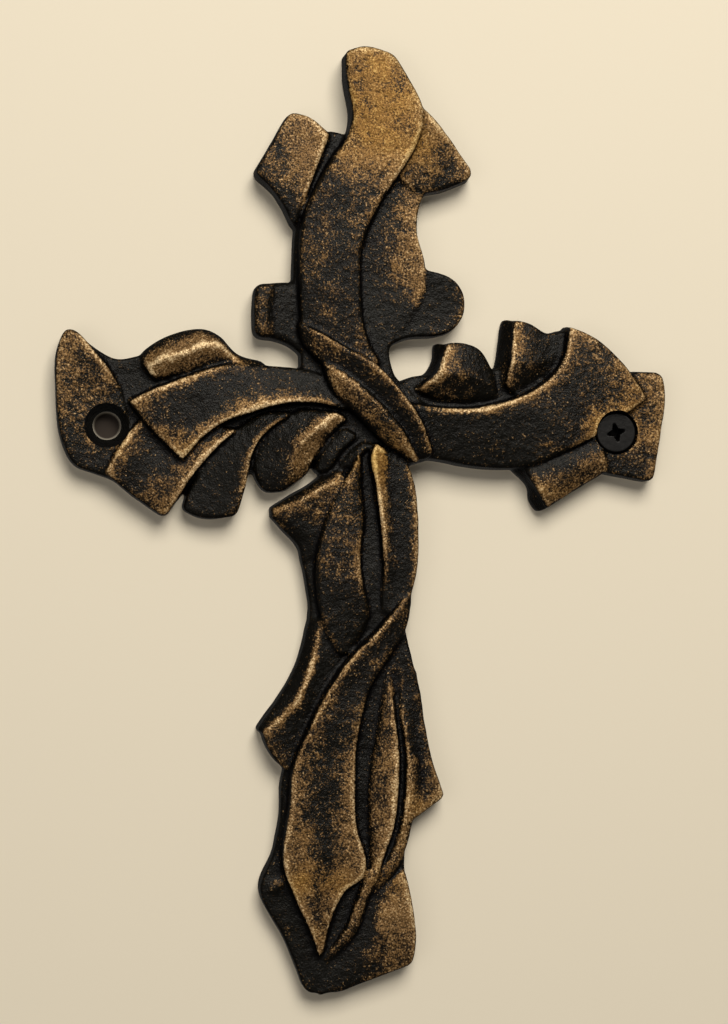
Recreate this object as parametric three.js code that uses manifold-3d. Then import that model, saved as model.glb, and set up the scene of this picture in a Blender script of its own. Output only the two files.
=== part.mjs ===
// A cast iron wall cross: one flat-backed casting of overlapping leaf-like folds,
// and the countersunk wood screw that holds its right arm to the wall.
// Millimetres. +Z runs up the cross, its front looks along -Y, and the flat back is the plane y = 0.
// The origin is on the back, behind the crossing of the arms.
import * as THREE from "three";
import * as BufferGeometryUtils from "three/addons/utils/BufferGeometryUtils.js";
import Module from "manifold-3d";

// Size of the casting
const HEIGHT = 201;
const SPAN = 130;
// Thickness of the low ground that the folds stand on, and how far the tallest fold stands over it
const GROUND = 4.6;
const RELIEF = 7;
// Rounding of a fold's rim, of the corners of its outline, and the taper of its side walls
const RIM_RADIUS = 0.6;
const CORNER_RADIUS = 1.2;
const DRAFT = 0.06;

// Countersunk screw
const SCREW_HEAD_DIAMETER = 8.4;
const SCREW_SHANK_DIAMETER = 4.2;
const SCREW_LENGTH = 25.4;
const SCREW_POINT_LENGTH = 5;
const SCREW_HEAD_RIM = 0.4;
const RECESS_SPAN = 4.2;
const RECESS_WIDTH = 1.1;
const RECESS_DEPTH = 1.7;
const SCREW_TURN = -15;
const COUNTERSINK_ANGLE = 82;

// Screw holes: the countersink clears the head, the bore clears the shank
const HEAD_CLEARANCE = 0.5;
const BORE_CLEARANCE = 0.9;
const SCREW_SEAT = 5.4;
const LEFT_HOLE = [-54.2, -2.5];
const RIGHT_HOLE = [54.2, -0.8];

// The plan was drawn at this size, and is stretched to HEIGHT and SPAN
const DRAWN_HEIGHT = 201;
const DRAWN_SPAN = 130;

// A fold is a strip lofted across the lines that run along it, from one rim to the other.
// Each point of a line is its place across and up the cross as drawn, and its lift:
// 0 is the ground and 1 the top of the tallest fold.
// The last entry holds what differs from the usual: crown is the swelling between two lines as a share
// of the relief, bow how far the two ends bulge, rim and corner the two roundings, in millimetres.
const UPPER_ARM = [
  ["tall blade", [
    [[-6.3, 78.2, 0.4], [-5.8, 71, 0.44], [-4.5, 64.5, 0.46], [-5.6, 59.5, 0.46], [-8.9, 54.2, 0.44],
      [-14.4, 42, 0.42], [-14.8, 30, 0.4], [-14.2, 19.5, 0.34]],
    [[3.9, 77.9, 0.36], [7.8, 71.6, 0.46], [10.4, 66.2, 0.52], [9.8, 60.5, 0.54], [6.7, 54, 0.56],
      [1.6, 45.7, 0.56], [-1.8, 37, 0.56], [-1.9, 28, 0.52], [-0.6, 18.5, 0.46], [3.2, 11.5, 0.4]],
  ], { "crown": 0.06, "bow": [0.9, 0], "corner": 1.6 }],
  ["right wing", [
    [[8, 67.9, 0.46], [11.6, 65.6, 0.42], [16.2, 60.6, 0.3], [21.6, 54, 0.2]],
    [[4, 54, 0.34], [9, 49, 0.22], [14.4, 49.3, 0.16], [21.4, 52.2, 0.18]],
  ], { "corner": 1 }],
  ["right valley", [
    [[5.5, 54, 0.12], [1, 45, 0.08], [-2.6, 36, 0.06], [-2.6, 26, 0.08], [-1.2, 17, 0.12], [3.5, 8, 0.15]],
    [[12.6, 51, 0.14], [10.4, 45.6, 0.2], [10.1, 40.5, 0.26], [11.9, 34, 0.26], [12, 28, 0.2],
      [8.4, 20.5, 0.16], [4.9, 15.2, 0.14], [6.4, 9, 0.12]],
  ], {}],
  ["right lobe", [
    [[-1, 33.5, 0.08], [8, 33, 0.2], [12.2, 32.5, 0.22], [16.5, 31.5, 0.2], [20.8, 29.5, 0.2]],
    [[-1, 13, 0.1], [5, 16.2, 0.12], [9, 18, 0.14], [15, 18.6, 0.16], [20.8, 20.6, 0.18]],
  ], { "crown": -0.06, "corner": 4 }],
  ["left wing", [
    [[-17.6, 64.6, 0.22], [-13.4, 63.8, 0.24], [-9, 60.4, 0.22]],
    [[-24.9, 51.6, 0.24], [-20.2, 47.4, 0.22], [-16, 40.2, 0.14]],
  ], { "crown": 0.02 }],
  ["left trough", [
    [[-9.6, 61.4, -0.04], [-15.4, 42, -0.04], [-16, 33, 0.02], [-15.8, 22, 0.02]],
    [[-3, 60, -0.04], [-8, 42, -0.04], [-9, 33, 0], [-9, 22, 0]],
  ], {}],
  ["left saddle", [
    [[-22.4, 28.3, 0.1], [-17, 28.9, 0.06], [-11, 29, 0.06]],
    [[-22.4, 17.3, 0.1], [-17.2, 16.1, 0.04], [-13.3, 13.2, 0.02], [-10, 8.5, 0.02]],
  ], { "rim": 1.6 }],
  ["left stub", [
    [[-23.9, 28.2, 0.24], [-24.1, 23, 0.28], [-23.9, 17.2, 0.24]],
    [[-19.4, 28.4, 0.16], [-20, 23, 0.18], [-19.6, 16.8, 0.16]],
  ], { "rim": 1.5, "corner": 1.6 }],
];

const CROSSING = [
  ["upper strap", [
    [[-15.2, 20.6, 0.42], [-9.7, 17.9, 0.72], [-4.2, 14.8, 0.9], [1, 12.1, 1], [5, 8.5, 1],
      [8.8, 4.2, 0.96], [11.8, -0.1, 0.86], [14.5, -6.9, 0.62]],
    [[-13.8, 16, 0.3], [-9.7, 12, 0.5], [-5.2, 8.8, 0.6], [-1.2, 5.6, 0.64], [3.3, 1.6, 0.64],
      [6.8, -2, 0.6], [9.4, -6, 0.5], [11.4, -8.2, 0.4]],
  ], { "corner": 1.4 }],
  ["lower strap", [
    [[-9.7, 12.3, 0.56], [-5.6, 10.1, 0.8], [-0.8, 6.6, 0.9], [4.2, 2.1, 0.9], [7.9, -2.2, 0.84],
      [9.6, -5.2, 0.74], [11.6, -8.3, 0.52]],
    [[-9.2, 11, 0.5], [-7.6, 6.8, 0.52], [-4.4, 3.4, 0.56], [-0.4, -0.2, 0.6], [3.4, -4, 0.58],
      [6.4, -6.3, 0.52], [10.4, -8.8, 0.42]],
  ], { "crown": 0.06 }],
  ["crossing ground", [
    [[-14, 14, 0.05], [-6, 16, 0.1], [4, 12, 0.1], [8, 8, 0.05], [14, 3, 0.1]],
    [[-12, -2, 0.1], [-6, -8, 0.1], [2, -10, 0.1], [8, -9.4, 0.1], [14, -7.6, 0.1]],
  ], {}],
];

const LEFT_ARM = [
  ["left ground", [
    [[-61, 16.6, 0.02], [-56.3, 13.2, 0], [-52.4, 11.5, -0.04], [-48.8, 12.1, -0.04], [-42, 14, 0]],
    [[-60.5, -11, 0], [-53.6, -13.5, 0], [-47, -17.4, 0], [-42.6, -20, 0], [-38, -17, 0]],
  ], {}],
  ["sweep ground", [
    [[-46, 0, 0], [-38, 3, 0], [-28, 6, 0], [-16, 8, 0], [-6, 6, 0.05]],
    [[-39, -14, 0], [-33, -10, 0], [-27, -8, 0], [-19, -5, 0], [-7, -9, 0.02]],
  ], {}],
  ["left plate", [
    [[-63.6, 17.5, 0.16], [-65.1, 12, 0.18], [-64.9, 4, 0.16], [-63.9, -4.5, 0.14], [-61.2, -11, 0.1]],
    [[-61, 17.2, 0.26], [-57, 12.8, 0.3], [-53.4, 8.4, 0.2], [-50.8, 3, 0.08], [-49.5, -7, 0.08],
      [-52, -13.9, 0.06]],
  ], { "corner": 2 }],
  ["hump", [
    [[-48, 12.4, -0.04], [-43.8, 15.8, 0.04], [-38, 18, 0.1], [-34.4, 18.3, 0.12], [-31, 16.9, 0.12],
      [-27.2, 13.3, 0.08], [-21, 11.7, 0.06]],
    [[-46.6, 9.6, 0.3], [-42.6, 11.9, 0.5], [-38, 13.2, 0.54], [-34.4, 14.9, 0.52], [-31, 14.9, 0.44],
      [-28, 12.2, 0.28], [-22, 10.4, 0.2]],
    [[-45, 7.2, 0.2], [-42, 7.6, 0.16], [-37, 8.6, 0.12], [-33, 9.4, 0.1], [-30, 9.6, 0.1],
      [-27, 9.6, 0.1], [-22, 8.8, 0.1]],
  ], { "rim": 1.1, "corner": 1.6 }],
  ["long blade", [
    [[-50, 2.7, 0.44], [-44.7, 5.4, 0.52], [-38.3, 8, 0.52], [-29.2, 11, 0.42], [-21, 10.9, 0.26],
      [-13.6, 10.4, 0.2], [-8, 9, 0.2]],
    [[-38.4, -9.4, 0.54], [-34.4, -4.7, 0.6], [-29.6, -1.2, 0.64], [-24.4, 0.9, 0.64], [-18, 3, 0.62],
      [-10.6, 3.5, 0.54], [-4, 2.2, 0.45]],
  ], { "crown": -0.03, "bow": [0.4, 0], "corner": 0.6 }],
  ["second blade", [
    [[-54.4, -12.5, 0.24], [-51.6, -7.2, 0.28], [-48.3, -2.3, 0.22], [-43, 2, 0.1]],
    [[-48, -17.4, 0.14], [-45.6, -12.6, 0.17], [-41.8, -7, 0.12], [-37.2, -2.4, 0.06]],
    [[-41.5, -21.7, 0.16], [-39.6, -18.3, 0.3], [-35.8, -12, 0.42], [-31.6, -6.9, 0.46], [-26.6, -2.4, 0.42]],
  ], { "crown": -0.03, "corner": 1.4 }],
  ["third blade", [
    [[-38.4, -20, -0.02], [-34.8, -12, 0.04], [-30, -5, 0.1], [-22, 1, 0.2]],
    [[-26.8, -21.2, 0.14], [-25, -15, 0.28], [-23.7, -8, 0.4], [-21, -3, 0.44], [-15, 1.4, 0.4]],
  ], { "bow": [0.8, 0], "corner": 1.8 }],
  ["fourth blade", [
    [[-20.6, -15.8, -0.04], [-22.8, -12.4, 0], [-22.9, -8.2, 0], [-20, -3, 0.1], [-14, 2, 0.2]],
    [[-16.8, -14.9, 0.1], [-15.6, -11.8, 0.3], [-14.8, -8, 0.4], [-12, -3.6, 0.52], [-6.3, 1.6, 0.48]],
    [[-11.7, -11.5, 0.02], [-10.6, -8.4, 0.16], [-7.6, -3.4, 0.26], [-3.5, 0.4, 0.34]],
  ], { "bow": [0.3, 0], "corner": 1.2 }],
  ["first tuck", [
    [[-10.4, -11.4, 0.06], [-8.8, -6.6, 0.16], [-4.6, -1.4, 0.26]],
    [[-7.2, -10.6, 0.18], [-5.4, -7.2, 0.3], [-1.6, -3.2, 0.38]],
  ], {}],
  ["second tuck", [
    [[-5.4, -10.4, 0.1], [-3.8, -7.6, 0.18], [-0.4, -4.4, 0.26]],
    [[-2.6, -9.6, 0.22], [-1.2, -7.4, 0.3], [2.2, -5, 0.36]],
  ], {}],
];

const RIGHT_ARM = [
  ["right ground", [
    [[7.2, 8.6, -0.04], [11.6, 10, -0.06], [20, 11, -0.04], [27.2, 11.8, -0.04], [36, 14, 0], [43, 19.5, 0]],
    [[8, -3, 0], [20, -3, 0], [30, -2, 0], [42, 2, 0], [50, 8, 0], [52, 14, 0]],
  ], {}],
  ["broad blade", [
    [[7, 4.4, 0.5], [15.5, 3.3, 0.5], [23, 3.4, 0.5], [32, 5.9, 0.52], [39.6, 10.8, 0.52],
      [42.1, 15, 0.5], [43.1, 21.9, 0.4]],
    [[7, -6.6, 0.24], [16, -7.7, 0.24], [25, -9, 0.24], [34.6, -8.6, 0.28], [44, -4.6, 0.42],
      [50, -1.4, 0.42], [55.5, 2.6, 0.4], [60.6, 6.8, 0.34]],
  ], { "crown": 0.02, "bow": [0, 2.1], "corner": 1 }],
  ["right plate", [
    [[56.4, 12.4, 0.1], [52, 4, 0.12], [50, -3, 0.1], [51.6, -9.4, 0.06]],
    [[63.9, 12.2, 0.18], [64.6, 7.5, 0.22], [64.1, 0, 0.22], [62.7, -11.2, 0.14]],
  ], { "corner": 1.6 }],
  ["under blade", [
    [[34.4, -9.4, 0.2], [44, -5, 0.2], [51, -2, 0.16]],
    [[39.6, -17.5, 0.1], [46.3, -13, 0.1], [52.6, -9.1, 0.08]],
  ], { "crown": 0.16, "corner": 0.6 }],
  ["under blade end", [
    [[32.4, -9.4, -0.3], [35.8, -12.6, -0.4], [36.6, -16, -0.4], [38, -18.3, -0.4]],
    [[35.2, -9.2, 0.06], [36.6, -11.8, 0.14], [38, -14.8, 0.12], [40, -17.6, 0]],
  ], { "corner": 0.8 }],
  ["first tab", [
    [[17, 17.1, 0.22], [20.6, 17.2, 0.2], [24.3, 15.9, 0.1], [27, 12.2, -0.02]],
    [[15, 10.6, 0.46], [19, 10.6, 0.44], [23.4, 9.8, 0.3], [27.6, 8.4, 0.12]],
    [[10.8, 6.8, 0.24], [16, 5.2, 0.08], [22, 5, 0.06], [28.4, 6, 0.06]],
  ], { "corner": 1 }],
  ["first tab end", [
    [[14.6, 17.2, -0.3], [14.5, 13.5, -0.4], [12.8, 10.4, -0.4], [9, 9, -0.3]],
    [[17.6, 16.9, 0.02], [16.8, 13, 0.12], [14.8, 9.6, 0.16], [10.8, 6.6, 0.12]],
  ], { "corner": 0.8 }],
  ["second tab", [
    [[31.2, 22.6, 0.24], [35, 21.8, 0.2], [38.9, 20, 0.1], [42.6, 20.9, 0.06]],
    [[30.6, 13.5, 0.42], [34.5, 13, 0.34], [38.5, 14, 0.18], [42, 16.5, 0.08]],
    [[29.6, 8.3, 0.24], [32.5, 6.6, 0.1], [37, 9, 0.04], [41.5, 12.4, 0.02]],
  ], { "corner": 1 }],
  ["second tab end", [
    [[29.7, 22.9, -0.3], [28.8, 17.5, -0.4], [28.2, 12.8, -0.4], [27.4, 8, -0.3]],
    [[31.8, 22.3, 0.04], [30.8, 17, 0.14], [30, 13, 0.16], [29.6, 7.8, 0.1]],
  ], { "corner": 0.8 }],
];

const LOWER_ARM = [
  ["upper leg ground", [
    [[-8, -9, 0], [-12.9, -26.5, -0.04], [-11.7, -33, -0.04], [-10.5, -41, -0.04], [-12, -50, -0.02]],
    [[0, -5, 0.1], [0, -22, 0.08], [1, -30, 0.12], [1, -38, 0.14], [-1, -53, 0.06]],
    [[9.4, -7.6, 0.1], [11.7, -20, 0.12], [12.1, -28, 0.12], [10.6, -38, 0.1], [9.8, -44.5, 0.08]],
  ], {}],
  ["hip wing", [
    [[-19.8, -19.2, 0.02], [-15.2, -16.2, 0], [-11.8, -14.2, 0], [-9.2, -12.2, 0.04], [-5, -10.2, 0.1]],
    [[-19.1, -19.7, 0.08], [-13.9, -17.3, 0.28], [-9.6, -14.6, 0.36], [-4.6, -11.6, 0.36]],
    [[-19, -20, 0.08], [-15.2, -22, 0.18], [-11.4, -25, 0.14], [-8, -28, 0.12]],
    [[-19.6, -20.4, 0.02], [-17, -23.2, 0], [-13.4, -26.8, 0], [-12.2, -30, 0]],
  ], { "corner": 0.8 }],
  ["spear leaf", [
    [[-1.3, -7.4, 0.42], [-4.8, -14, 0.42], [-7.8, -21, 0.4], [-9.5, -29, 0.36], [-9.3, -36, 0.34],
      [-7.8, -43, 0.3], [-4.4, -49.4, 0.22]],
    [[-0.9, -7.8, 0.36], [-0.5, -14, 0.32], [0.2, -21, 0.36], [-0.3, -28, 0.38], [0.4, -35, 0.34],
      [1.8, -41, 0.26], [-2, -49.6, 0.18]],
  ], { "crown": 0.05 }],
  ["bright strip", [
    [[2, -4.4, 0.52], [1.3, -8, 0.58], [2.3, -13, 0.54], [3.3, -19, 0.48], [4.2, -25, 0.42],
      [4.7, -32, 0.34], [4.6, -40, 0.22]],
    [[5, -6.4, 0.36], [5.6, -12, 0.32], [6.3, -19, 0.3], [7, -26, 0.28], [7.2, -33, 0.26], [6.8, -41, 0.22]],
    [[9.6, -9.2, 0.3], [10.8, -13, 0.3], [11.7, -19, 0.3], [12.1, -25, 0.3], [11.9, -31, 0.28],
      [10.4, -39, 0.24]],
  ], { "corner": 1 }],
  ["great leaf", [
    [[10.9, -35.2, 0.28], [7.9, -39, 0.44], [3.1, -44.7, 0.56], [-1.3, -49.1, 0.62], [-6.6, -56.8, 0.62],
      [-10.1, -64.2, 0.6], [-13.5, -73.6, 0.56], [-14, -82, 0.54], [-15.2, -93.4, 0.5], [-12.3, -101, 0.44],
      [-8.6, -108.6, 0.38], [-6.9, -113.4, 0.3]],
    [[11, -38, 0.2], [9.7, -44, 0.3], [7, -48.6, 0.42], [3.2, -55, 0.5], [1, -61, 0.52], [-0.2, -70, 0.52],
      [-0.2, -80, 0.5], [0.6, -86.5, 0.48], [2.6, -93, 0.46], [1.8, -96.6, 0.44], [-1.8, -99.4, 0.42],
      [-4.4, -105.5, 0.36], [-6, -112.6, 0.28]],
  ], { "crown": -0.03 }],
  ["thigh wing", [
    [[-10.5, -42, -0.06], [-12.7, -51, -0.06], [-16.4, -58.6, -0.04], [-21.4, -66.2, 0.02]],
    [[-8.4, -42, 0.18], [-10.2, -52, 0.3], [-12.9, -59, 0.32], [-19.8, -66, 0.18]],
    [[-3, -46, 0.1], [-4.5, -54, 0.1], [-8.5, -63, 0.1], [-14.6, -74.6, 0.08]],
  ], { "bow": [0, 1] }],
  ["lower leg ground", [
    [[-12, -66, 0], [-15.4, -76, -0.04], [-15.6, -84, -0.04], [-17, -92, -0.02], [-19.4, -99.6, 0],
      [-14.1, -110, -0.02], [-9.2, -121.4, -0.02]],
    [[0, -60, 0.08], [1.4, -76, 0.06], [1.6, -84, 0.06], [2, -92, 0.08], [2, -99, 0.08], [2, -108, 0.08],
      [-2, -121, 0.06]],
    [[12, -56, 0.1], [11.4, -76, 0.08], [11.4, -84, 0.08], [11, -92, 0.1], [11.2, -96, 0.12],
      [13.9, -108.5, 0.14], [13.2, -114.8, 0.1]],
  ], { "corner": 1.6 }],
  ["heel nub", [
    [[-18.2, -99.6, 0.04], [-16.4, -97.4, 0.12], [-14.6, -96.8, 0.06]],
    [[-17.4, -100.6, 0.04], [-15.6, -99.8, 0.1], [-14.2, -98.8, 0.06]],
  ], {}],
  ["knee ground", [
    [[9, -42, 0.12], [4, -49, 0.12], [0, -58, 0.08], [0, -72, 0.06]],
    [[9.9, -44, 0.16], [11.4, -50, 0.2], [13.4, -57, 0.14], [15.6, -70, 0.08]],
  ], {}],
  ["middle blade", [
    [[5.8, -52, 0.12], [4.7, -63, 0.18], [3.3, -72, 0.18], [3, -82, 0.18], [3.5, -90, 0.2], [3.6, -96, 0.24]],
    [[6.8, -52, 0.14], [8, -61.6, 0.34], [9, -70, 0.44], [8.9, -79, 0.44], [8.2, -86, 0.42], [6, -93.2, 0.38],
      [4.8, -98.2, 0.3]],
  ], { "crown": 0.04 }],
  ["outer blade", [
    [[8.6, -52, 0.18], [9.2, -61, 0.24], [10.4, -68.6, 0.32], [11.3, -75, 0.34], [11.6, -84.6, 0.24]],
    [[10.8, -52, 0.18], [11.9, -61, 0.16], [13.2, -70, 0.12], [14.6, -77, 0.12], [14.4, -82.8, 0.14]],
    [[12.4, -52, 0.12], [14.1, -61, 0.14], [15.8, -69.5, 0.18], [17.2, -74, 0.2], [19.2, -79.2, 0.16]],
  ], { "corner": 1 }],
  ["outer ribbon", [
    [[10.6, -70, 0.3], [10.7, -78, 0.31], [10.2, -84, 0.28], [9.2, -88.6, 0.26], [7.2, -93.2, 0.24],
      [3.8, -98.8, 0.18]],
    [[13.4, -70, 0.2], [13.2, -78, 0.22], [12.2, -85, 0.2], [11.2, -90, 0.2], [9, -95, 0.2],
      [4.4, -100.4, 0.14]],
  ], { "rim": 0.7 }],
  ["narrow strap", [
    [[3.4, -93.8, 0.36], [1.9, -98, 0.36], [0.5, -102, 0.32], [-0.8, -106, 0.28], [-2.8, -109.8, 0.22],
      [-5.8, -114, 0.08]],
    [[5.3, -95.4, 0.36], [3.9, -99.2, 0.34], [2.5, -103.4, 0.3], [1.3, -107.3, 0.26], [-1.3, -110.8, 0.18],
      [-5.2, -114.6, 0.06]],
  ], { "rim": 0.7 }],
  ["foot plate", [
    [[4, -98, 0.06], [1.6, -107, 0.06], [-3, -115, 0.06], [-7.2, -122, 0.04]],
    [[6.4, -98.6, 0.16], [6.2, -106, 0.22], [5, -112, 0.18], [2, -119.2, 0.1]],
    [[11, -94.6, 0.2], [12.8, -101.6, 0.24], [13.9, -108.6, 0.22], [13.3, -114.9, 0.12]],
  ], { "corner": 1.4 }],
];

// Spacing of the points that a fold is faceted with, along it and across it
const ALONG_STEP = 7.8;
const ACROSS_STEP = 4.8;
const ROUND_STATIONS = [0, 0.3, 1];
// How far the raw folds reach behind the back, which is then cut flat
const BACK_EXCESS = 1;
const ROUND_SIDES = 32;

const castIron = new THREE.MeshStandardMaterial({ color: 0x2a2624, roughness: 0.55, metalness: 0.6 });
const blackSteel = new THREE.MeshStandardMaterial({ color: 0x161618, roughness: 0.45, metalness: 0.7 });

// A point of the plan, from the drawn size to the real one
function planPoint([x, z]) {
  return [x * SPAN / DRAWN_SPAN, z * HEIGHT / DRAWN_HEIGHT];
}

function liftHeight(lift) {
  return GROUND + lift * RELIEF;
}

// How far a rounding of this radius falls away at a distance from where it ends
function roundOff(distance, radius) {
  const inside = Math.max(radius - distance, 0);
  return radius - Math.sqrt(radius * radius - inside * inside);
}

// Places from 0 to a length: the stations of the roundings at both ends and even steps between
function stations(length, radius, step) {
  const reach = Math.min(radius, length * 0.4);
  const ends = ROUND_STATIONS.map((share) => share * reach);
  const middle = length - 2 * reach;
  const count = Math.max(Math.round(middle / step), 1);
  const between = Array.from({ length: count - 1 }, (_, i) => reach + middle * (i + 1) / count);
  return [...ends, ...between, ...ends.map((place) => length - place).reverse()];
}

// The fold's section at a share of its length: the points of its lines there, with the crown added
function section(curves, share, crown) {
  const knots = curves.map((curve) => curve.getPointAt(share));
  const widths = knots.slice(1).map((knot, i) => Math.hypot(knot.x - knots[i].x, knot.z - knots[i].z));
  const width = widths.reduce((sum, part) => sum + part, 0);
  const at = (place) => {
    let strip = 0;
    let left = place;
    while (strip < widths.length - 1 && left > widths[strip]) {
      left -= widths[strip];
      strip += 1;
    }
    const part = left / widths[strip];
    const point = knots[strip].clone().lerp(knots[strip + 1], part);
    point.y += crown * RELIEF * 4 * part * (1 - part);
    return point;
  };
  return { width, at };
}

// The front of a fold as rows of points: x and z in the plan, y its height over the back
function foldFront(lines, { crown = 0, bow = [0, 0], rim = RIM_RADIUS, corner = CORNER_RADIUS }) {
  const curves = lines.map((line) => new THREE.CatmullRomCurve3(line.map((point) => {
    const [x, z] = planPoint(point);
    return new THREE.Vector3(x, liftHeight(point[2]), z);
  })));
  const length = (curves[0].getLength() + curves[curves.length - 1].getLength()) / 2;
  const middleWidth = section(curves, 0.5, 0).width;
  const across = stations(middleWidth, rim, ACROSS_STEP).map((place) => place / middleWidth);
  return stations(length, Math.max(rim, corner), ALONG_STEP).map((along) => {
    const share = along / length;
    const { width, at } = section(curves, share, crown);
    const toEnd = Math.min(along, length - along);
    const cornerHere = Math.min(corner, width * 0.45);
    const inset = roundOff(toEnd, cornerHere);
    const nearStart = share < 0.5;
    const fade = Math.max(1 - 4 * Math.min(share, 1 - share), 0) ** 2;
    const outward = curves[0].getTangentAt(share).add(curves[curves.length - 1].getTangentAt(share));
    outward.setY(0).normalize().multiplyScalar(nearStart ? -bow[0] : bow[1]);
    const rimHere = Math.min(rim, width * 0.4);
    return across.map((v) => {
      const point = at(inset + v * (width - 2 * inset));
      const toSide = Math.min(v, 1 - v) * (width - 2 * inset);
      point.y -= roundOff(Math.min(toSide, toEnd), rimHere);
      return point.addScaledVector(outward, fade * 4 * v * (1 - v));
    });
  });
}

// A closed solid from the rows of a fold's front, its walls tapering out to the back
function foldSolid(rows) {
  const rowCount = rows.length;
  const columnCount = rows[0].length;
  const index = (row, column) => row * columnCount + column;
  const border = [];
  for (let column = 0; column < columnCount - 1; column += 1) border.push([0, column]);
  for (let row = 0; row < rowCount - 1; row += 1) border.push([row, columnCount - 1]);
  for (let column = columnCount - 1; column > 0; column -= 1) border.push([rowCount - 1, column]);
  for (let row = rowCount - 1; row > 0; row -= 1) border.push([row, 0]);
  const front = rows.flat();
  const back = front.map((point) => new THREE.Vector3(point.x, -BACK_EXCESS, point.z));
  const area = border.reduce((sum, [row, column], i) => {
    const here = rows[row][column];
    const next = rows[border[(i + 1) % border.length][0]][border[(i + 1) % border.length][1]];
    return sum + here.x * next.z - here.z * next.x;
  }, 0);
  const turn = Math.sign(area);
  border.forEach(([row, column], i) => {
    const [rowBefore, columnBefore] = border[(i + border.length - 1) % border.length];
    const [rowAfter, columnAfter] = border[(i + 1) % border.length];
    const before = rows[rowBefore][columnBefore];
    const after = rows[rowAfter][columnAfter];
    const outward = new THREE.Vector3(after.z - before.z, 0, before.x - after.x).normalize();
    back[index(row, column)].addScaledVector(outward, turn * DRAFT * rows[row][column].y);
  });
  const triangles = [];
  const add = (a, b, c) => (turn > 0 ? triangles.push(a, b, c) : triangles.push(a, c, b));
  const behind = front.length;
  for (let row = 0; row < rowCount - 1; row += 1) {
    for (let column = 0; column < columnCount - 1; column += 1) {
      const [a, b] = [index(row, column), index(row, column + 1)];
      const [c, d] = [index(row + 1, column + 1), index(row + 1, column)];
      add(a, b, c);
      add(a, c, d);
      add(behind + a, behind + c, behind + b);
      add(behind + a, behind + d, behind + c);
    }
  }
  border.forEach(([row, column], i) => {
    const here = index(row, column);
    const next = index(...border[(i + 1) % border.length]);
    add(here, behind + here, behind + next);
    add(here, behind + next, next);
  });
  const positions = [...front, ...back].flatMap((point) => [point.x, -point.y, point.z]);
  const geometry = new THREE.BufferGeometry();
  geometry.setAttribute("position", new THREE.Float32BufferAttribute(positions, 3));
  geometry.setIndex(triangles);
  return geometry;
}

const wasm = await Module();
wasm.setup();

function toManifold(source) {
  const plain = source.clone();
  plain.deleteAttribute("normal");
  plain.deleteAttribute("uv");
  const merged = BufferGeometryUtils.mergeVertices(plain, 1e-5);
  const index = merged.index.array;
  const kept = [];
  for (let i = 0; i < index.length; i += 3) {
    const [a, b, c] = [index[i], index[i + 1], index[i + 2]];
    if (a !== b && b !== c && c !== a) kept.push(a, b, c);
  }
  return new wasm.Manifold(new wasm.Mesh({
    numProp: 3,
    vertProperties: merged.attributes.position.array,
    triVerts: new Uint32Array(kept),
  }));
}

function toGeometry(solid) {
  const mesh = solid.getMesh();
  const geometry = new THREE.BufferGeometry();
  geometry.setAttribute("position", new THREE.BufferAttribute(mesh.vertProperties, 3));
  geometry.setIndex(new THREE.BufferAttribute(mesh.triVerts, 1));
  geometry.computeVertexNormals();
  return geometry;
}

// A solid turned about the Y axis from a profile of radius and height over the back
function turnedSolid(profile) {
  const points = profile.map(([radius, height]) => new THREE.Vector2(radius, height));
  return toManifold(new THREE.LatheGeometry(points, ROUND_SIDES).rotateX(Math.PI));
}

function placed(solid, [x, z]) {
  return solid.translate([x, 0, z]);
}

const HEAD_RADIUS = SCREW_HEAD_DIAMETER / 2;
const SHANK_RADIUS = SCREW_SHANK_DIAMETER / 2;
const HEAD_SLOPE = Math.tan(THREE.MathUtils.degToRad(COUNTERSINK_ANGLE / 2));
const HEAD_EDGE = SCREW_SEAT - SCREW_HEAD_RIM;

// The space that a screw hole takes out of the casting, from behind the back to beyond the front
function holeSpace() {
  const bore = SHANK_RADIUS + BORE_CLEARANCE;
  const sink = HEAD_RADIUS + HEAD_CLEARANCE;
  const front = GROUND + 2 * RELIEF;
  return turnedSolid([
    [0, -BACK_EXCESS],
    [bore, -BACK_EXCESS],
    [bore, HEAD_EDGE - (sink - bore) / HEAD_SLOPE],
    [sink, HEAD_EDGE],
    [sink, front],
    [0, front],
  ]);
}

function castingSolid() {
  const folds = [UPPER_ARM, CROSSING, LEFT_ARM, RIGHT_ARM, LOWER_ARM].flat();
  const solids = folds.map(([, lines, options]) => toManifold(foldSolid(foldFront(lines, options))));
  const joined = wasm.Manifold.union(solids);
  const behind = new THREE.BoxGeometry(2 * SPAN, 2 * BACK_EXCESS, 2 * HEIGHT).translate(0, BACK_EXCESS, 0);
  const holes = [LEFT_HOLE, RIGHT_HOLE].map((hole) => placed(holeSpace(), planPoint(hole)));
  return joined.subtract(toManifold(behind)).subtract(holes[0]).subtract(holes[1]);
}

function screwSolid() {
  const body = turnedSolid([
    [0, SCREW_SEAT - SCREW_LENGTH],
    [SHANK_RADIUS, SCREW_SEAT - SCREW_LENGTH + SCREW_POINT_LENGTH],
    [SHANK_RADIUS, HEAD_EDGE - (HEAD_RADIUS - SHANK_RADIUS) / HEAD_SLOPE],
    [HEAD_RADIUS, HEAD_EDGE],
    [HEAD_RADIUS, SCREW_SEAT],
    [0, SCREW_SEAT],
  ]);
  const slot = new THREE.BoxGeometry(RECESS_SPAN, 2 * RECESS_DEPTH, RECESS_WIDTH);
  slot.translate(0, -SCREW_SEAT, 0);
  const crossSlot = slot.clone().rotateY(Math.PI / 2);
  const cut = body.subtract(toManifold(slot)).subtract(toManifold(crossSlot));
  return placed(cut.rotate([0, SCREW_TURN, 0]), planPoint(RIGHT_HOLE));
}

function piece(name, solid, material) {
  const mesh = new THREE.Mesh(toGeometry(solid), material);
  mesh.name = name;
  return mesh;
}

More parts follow.
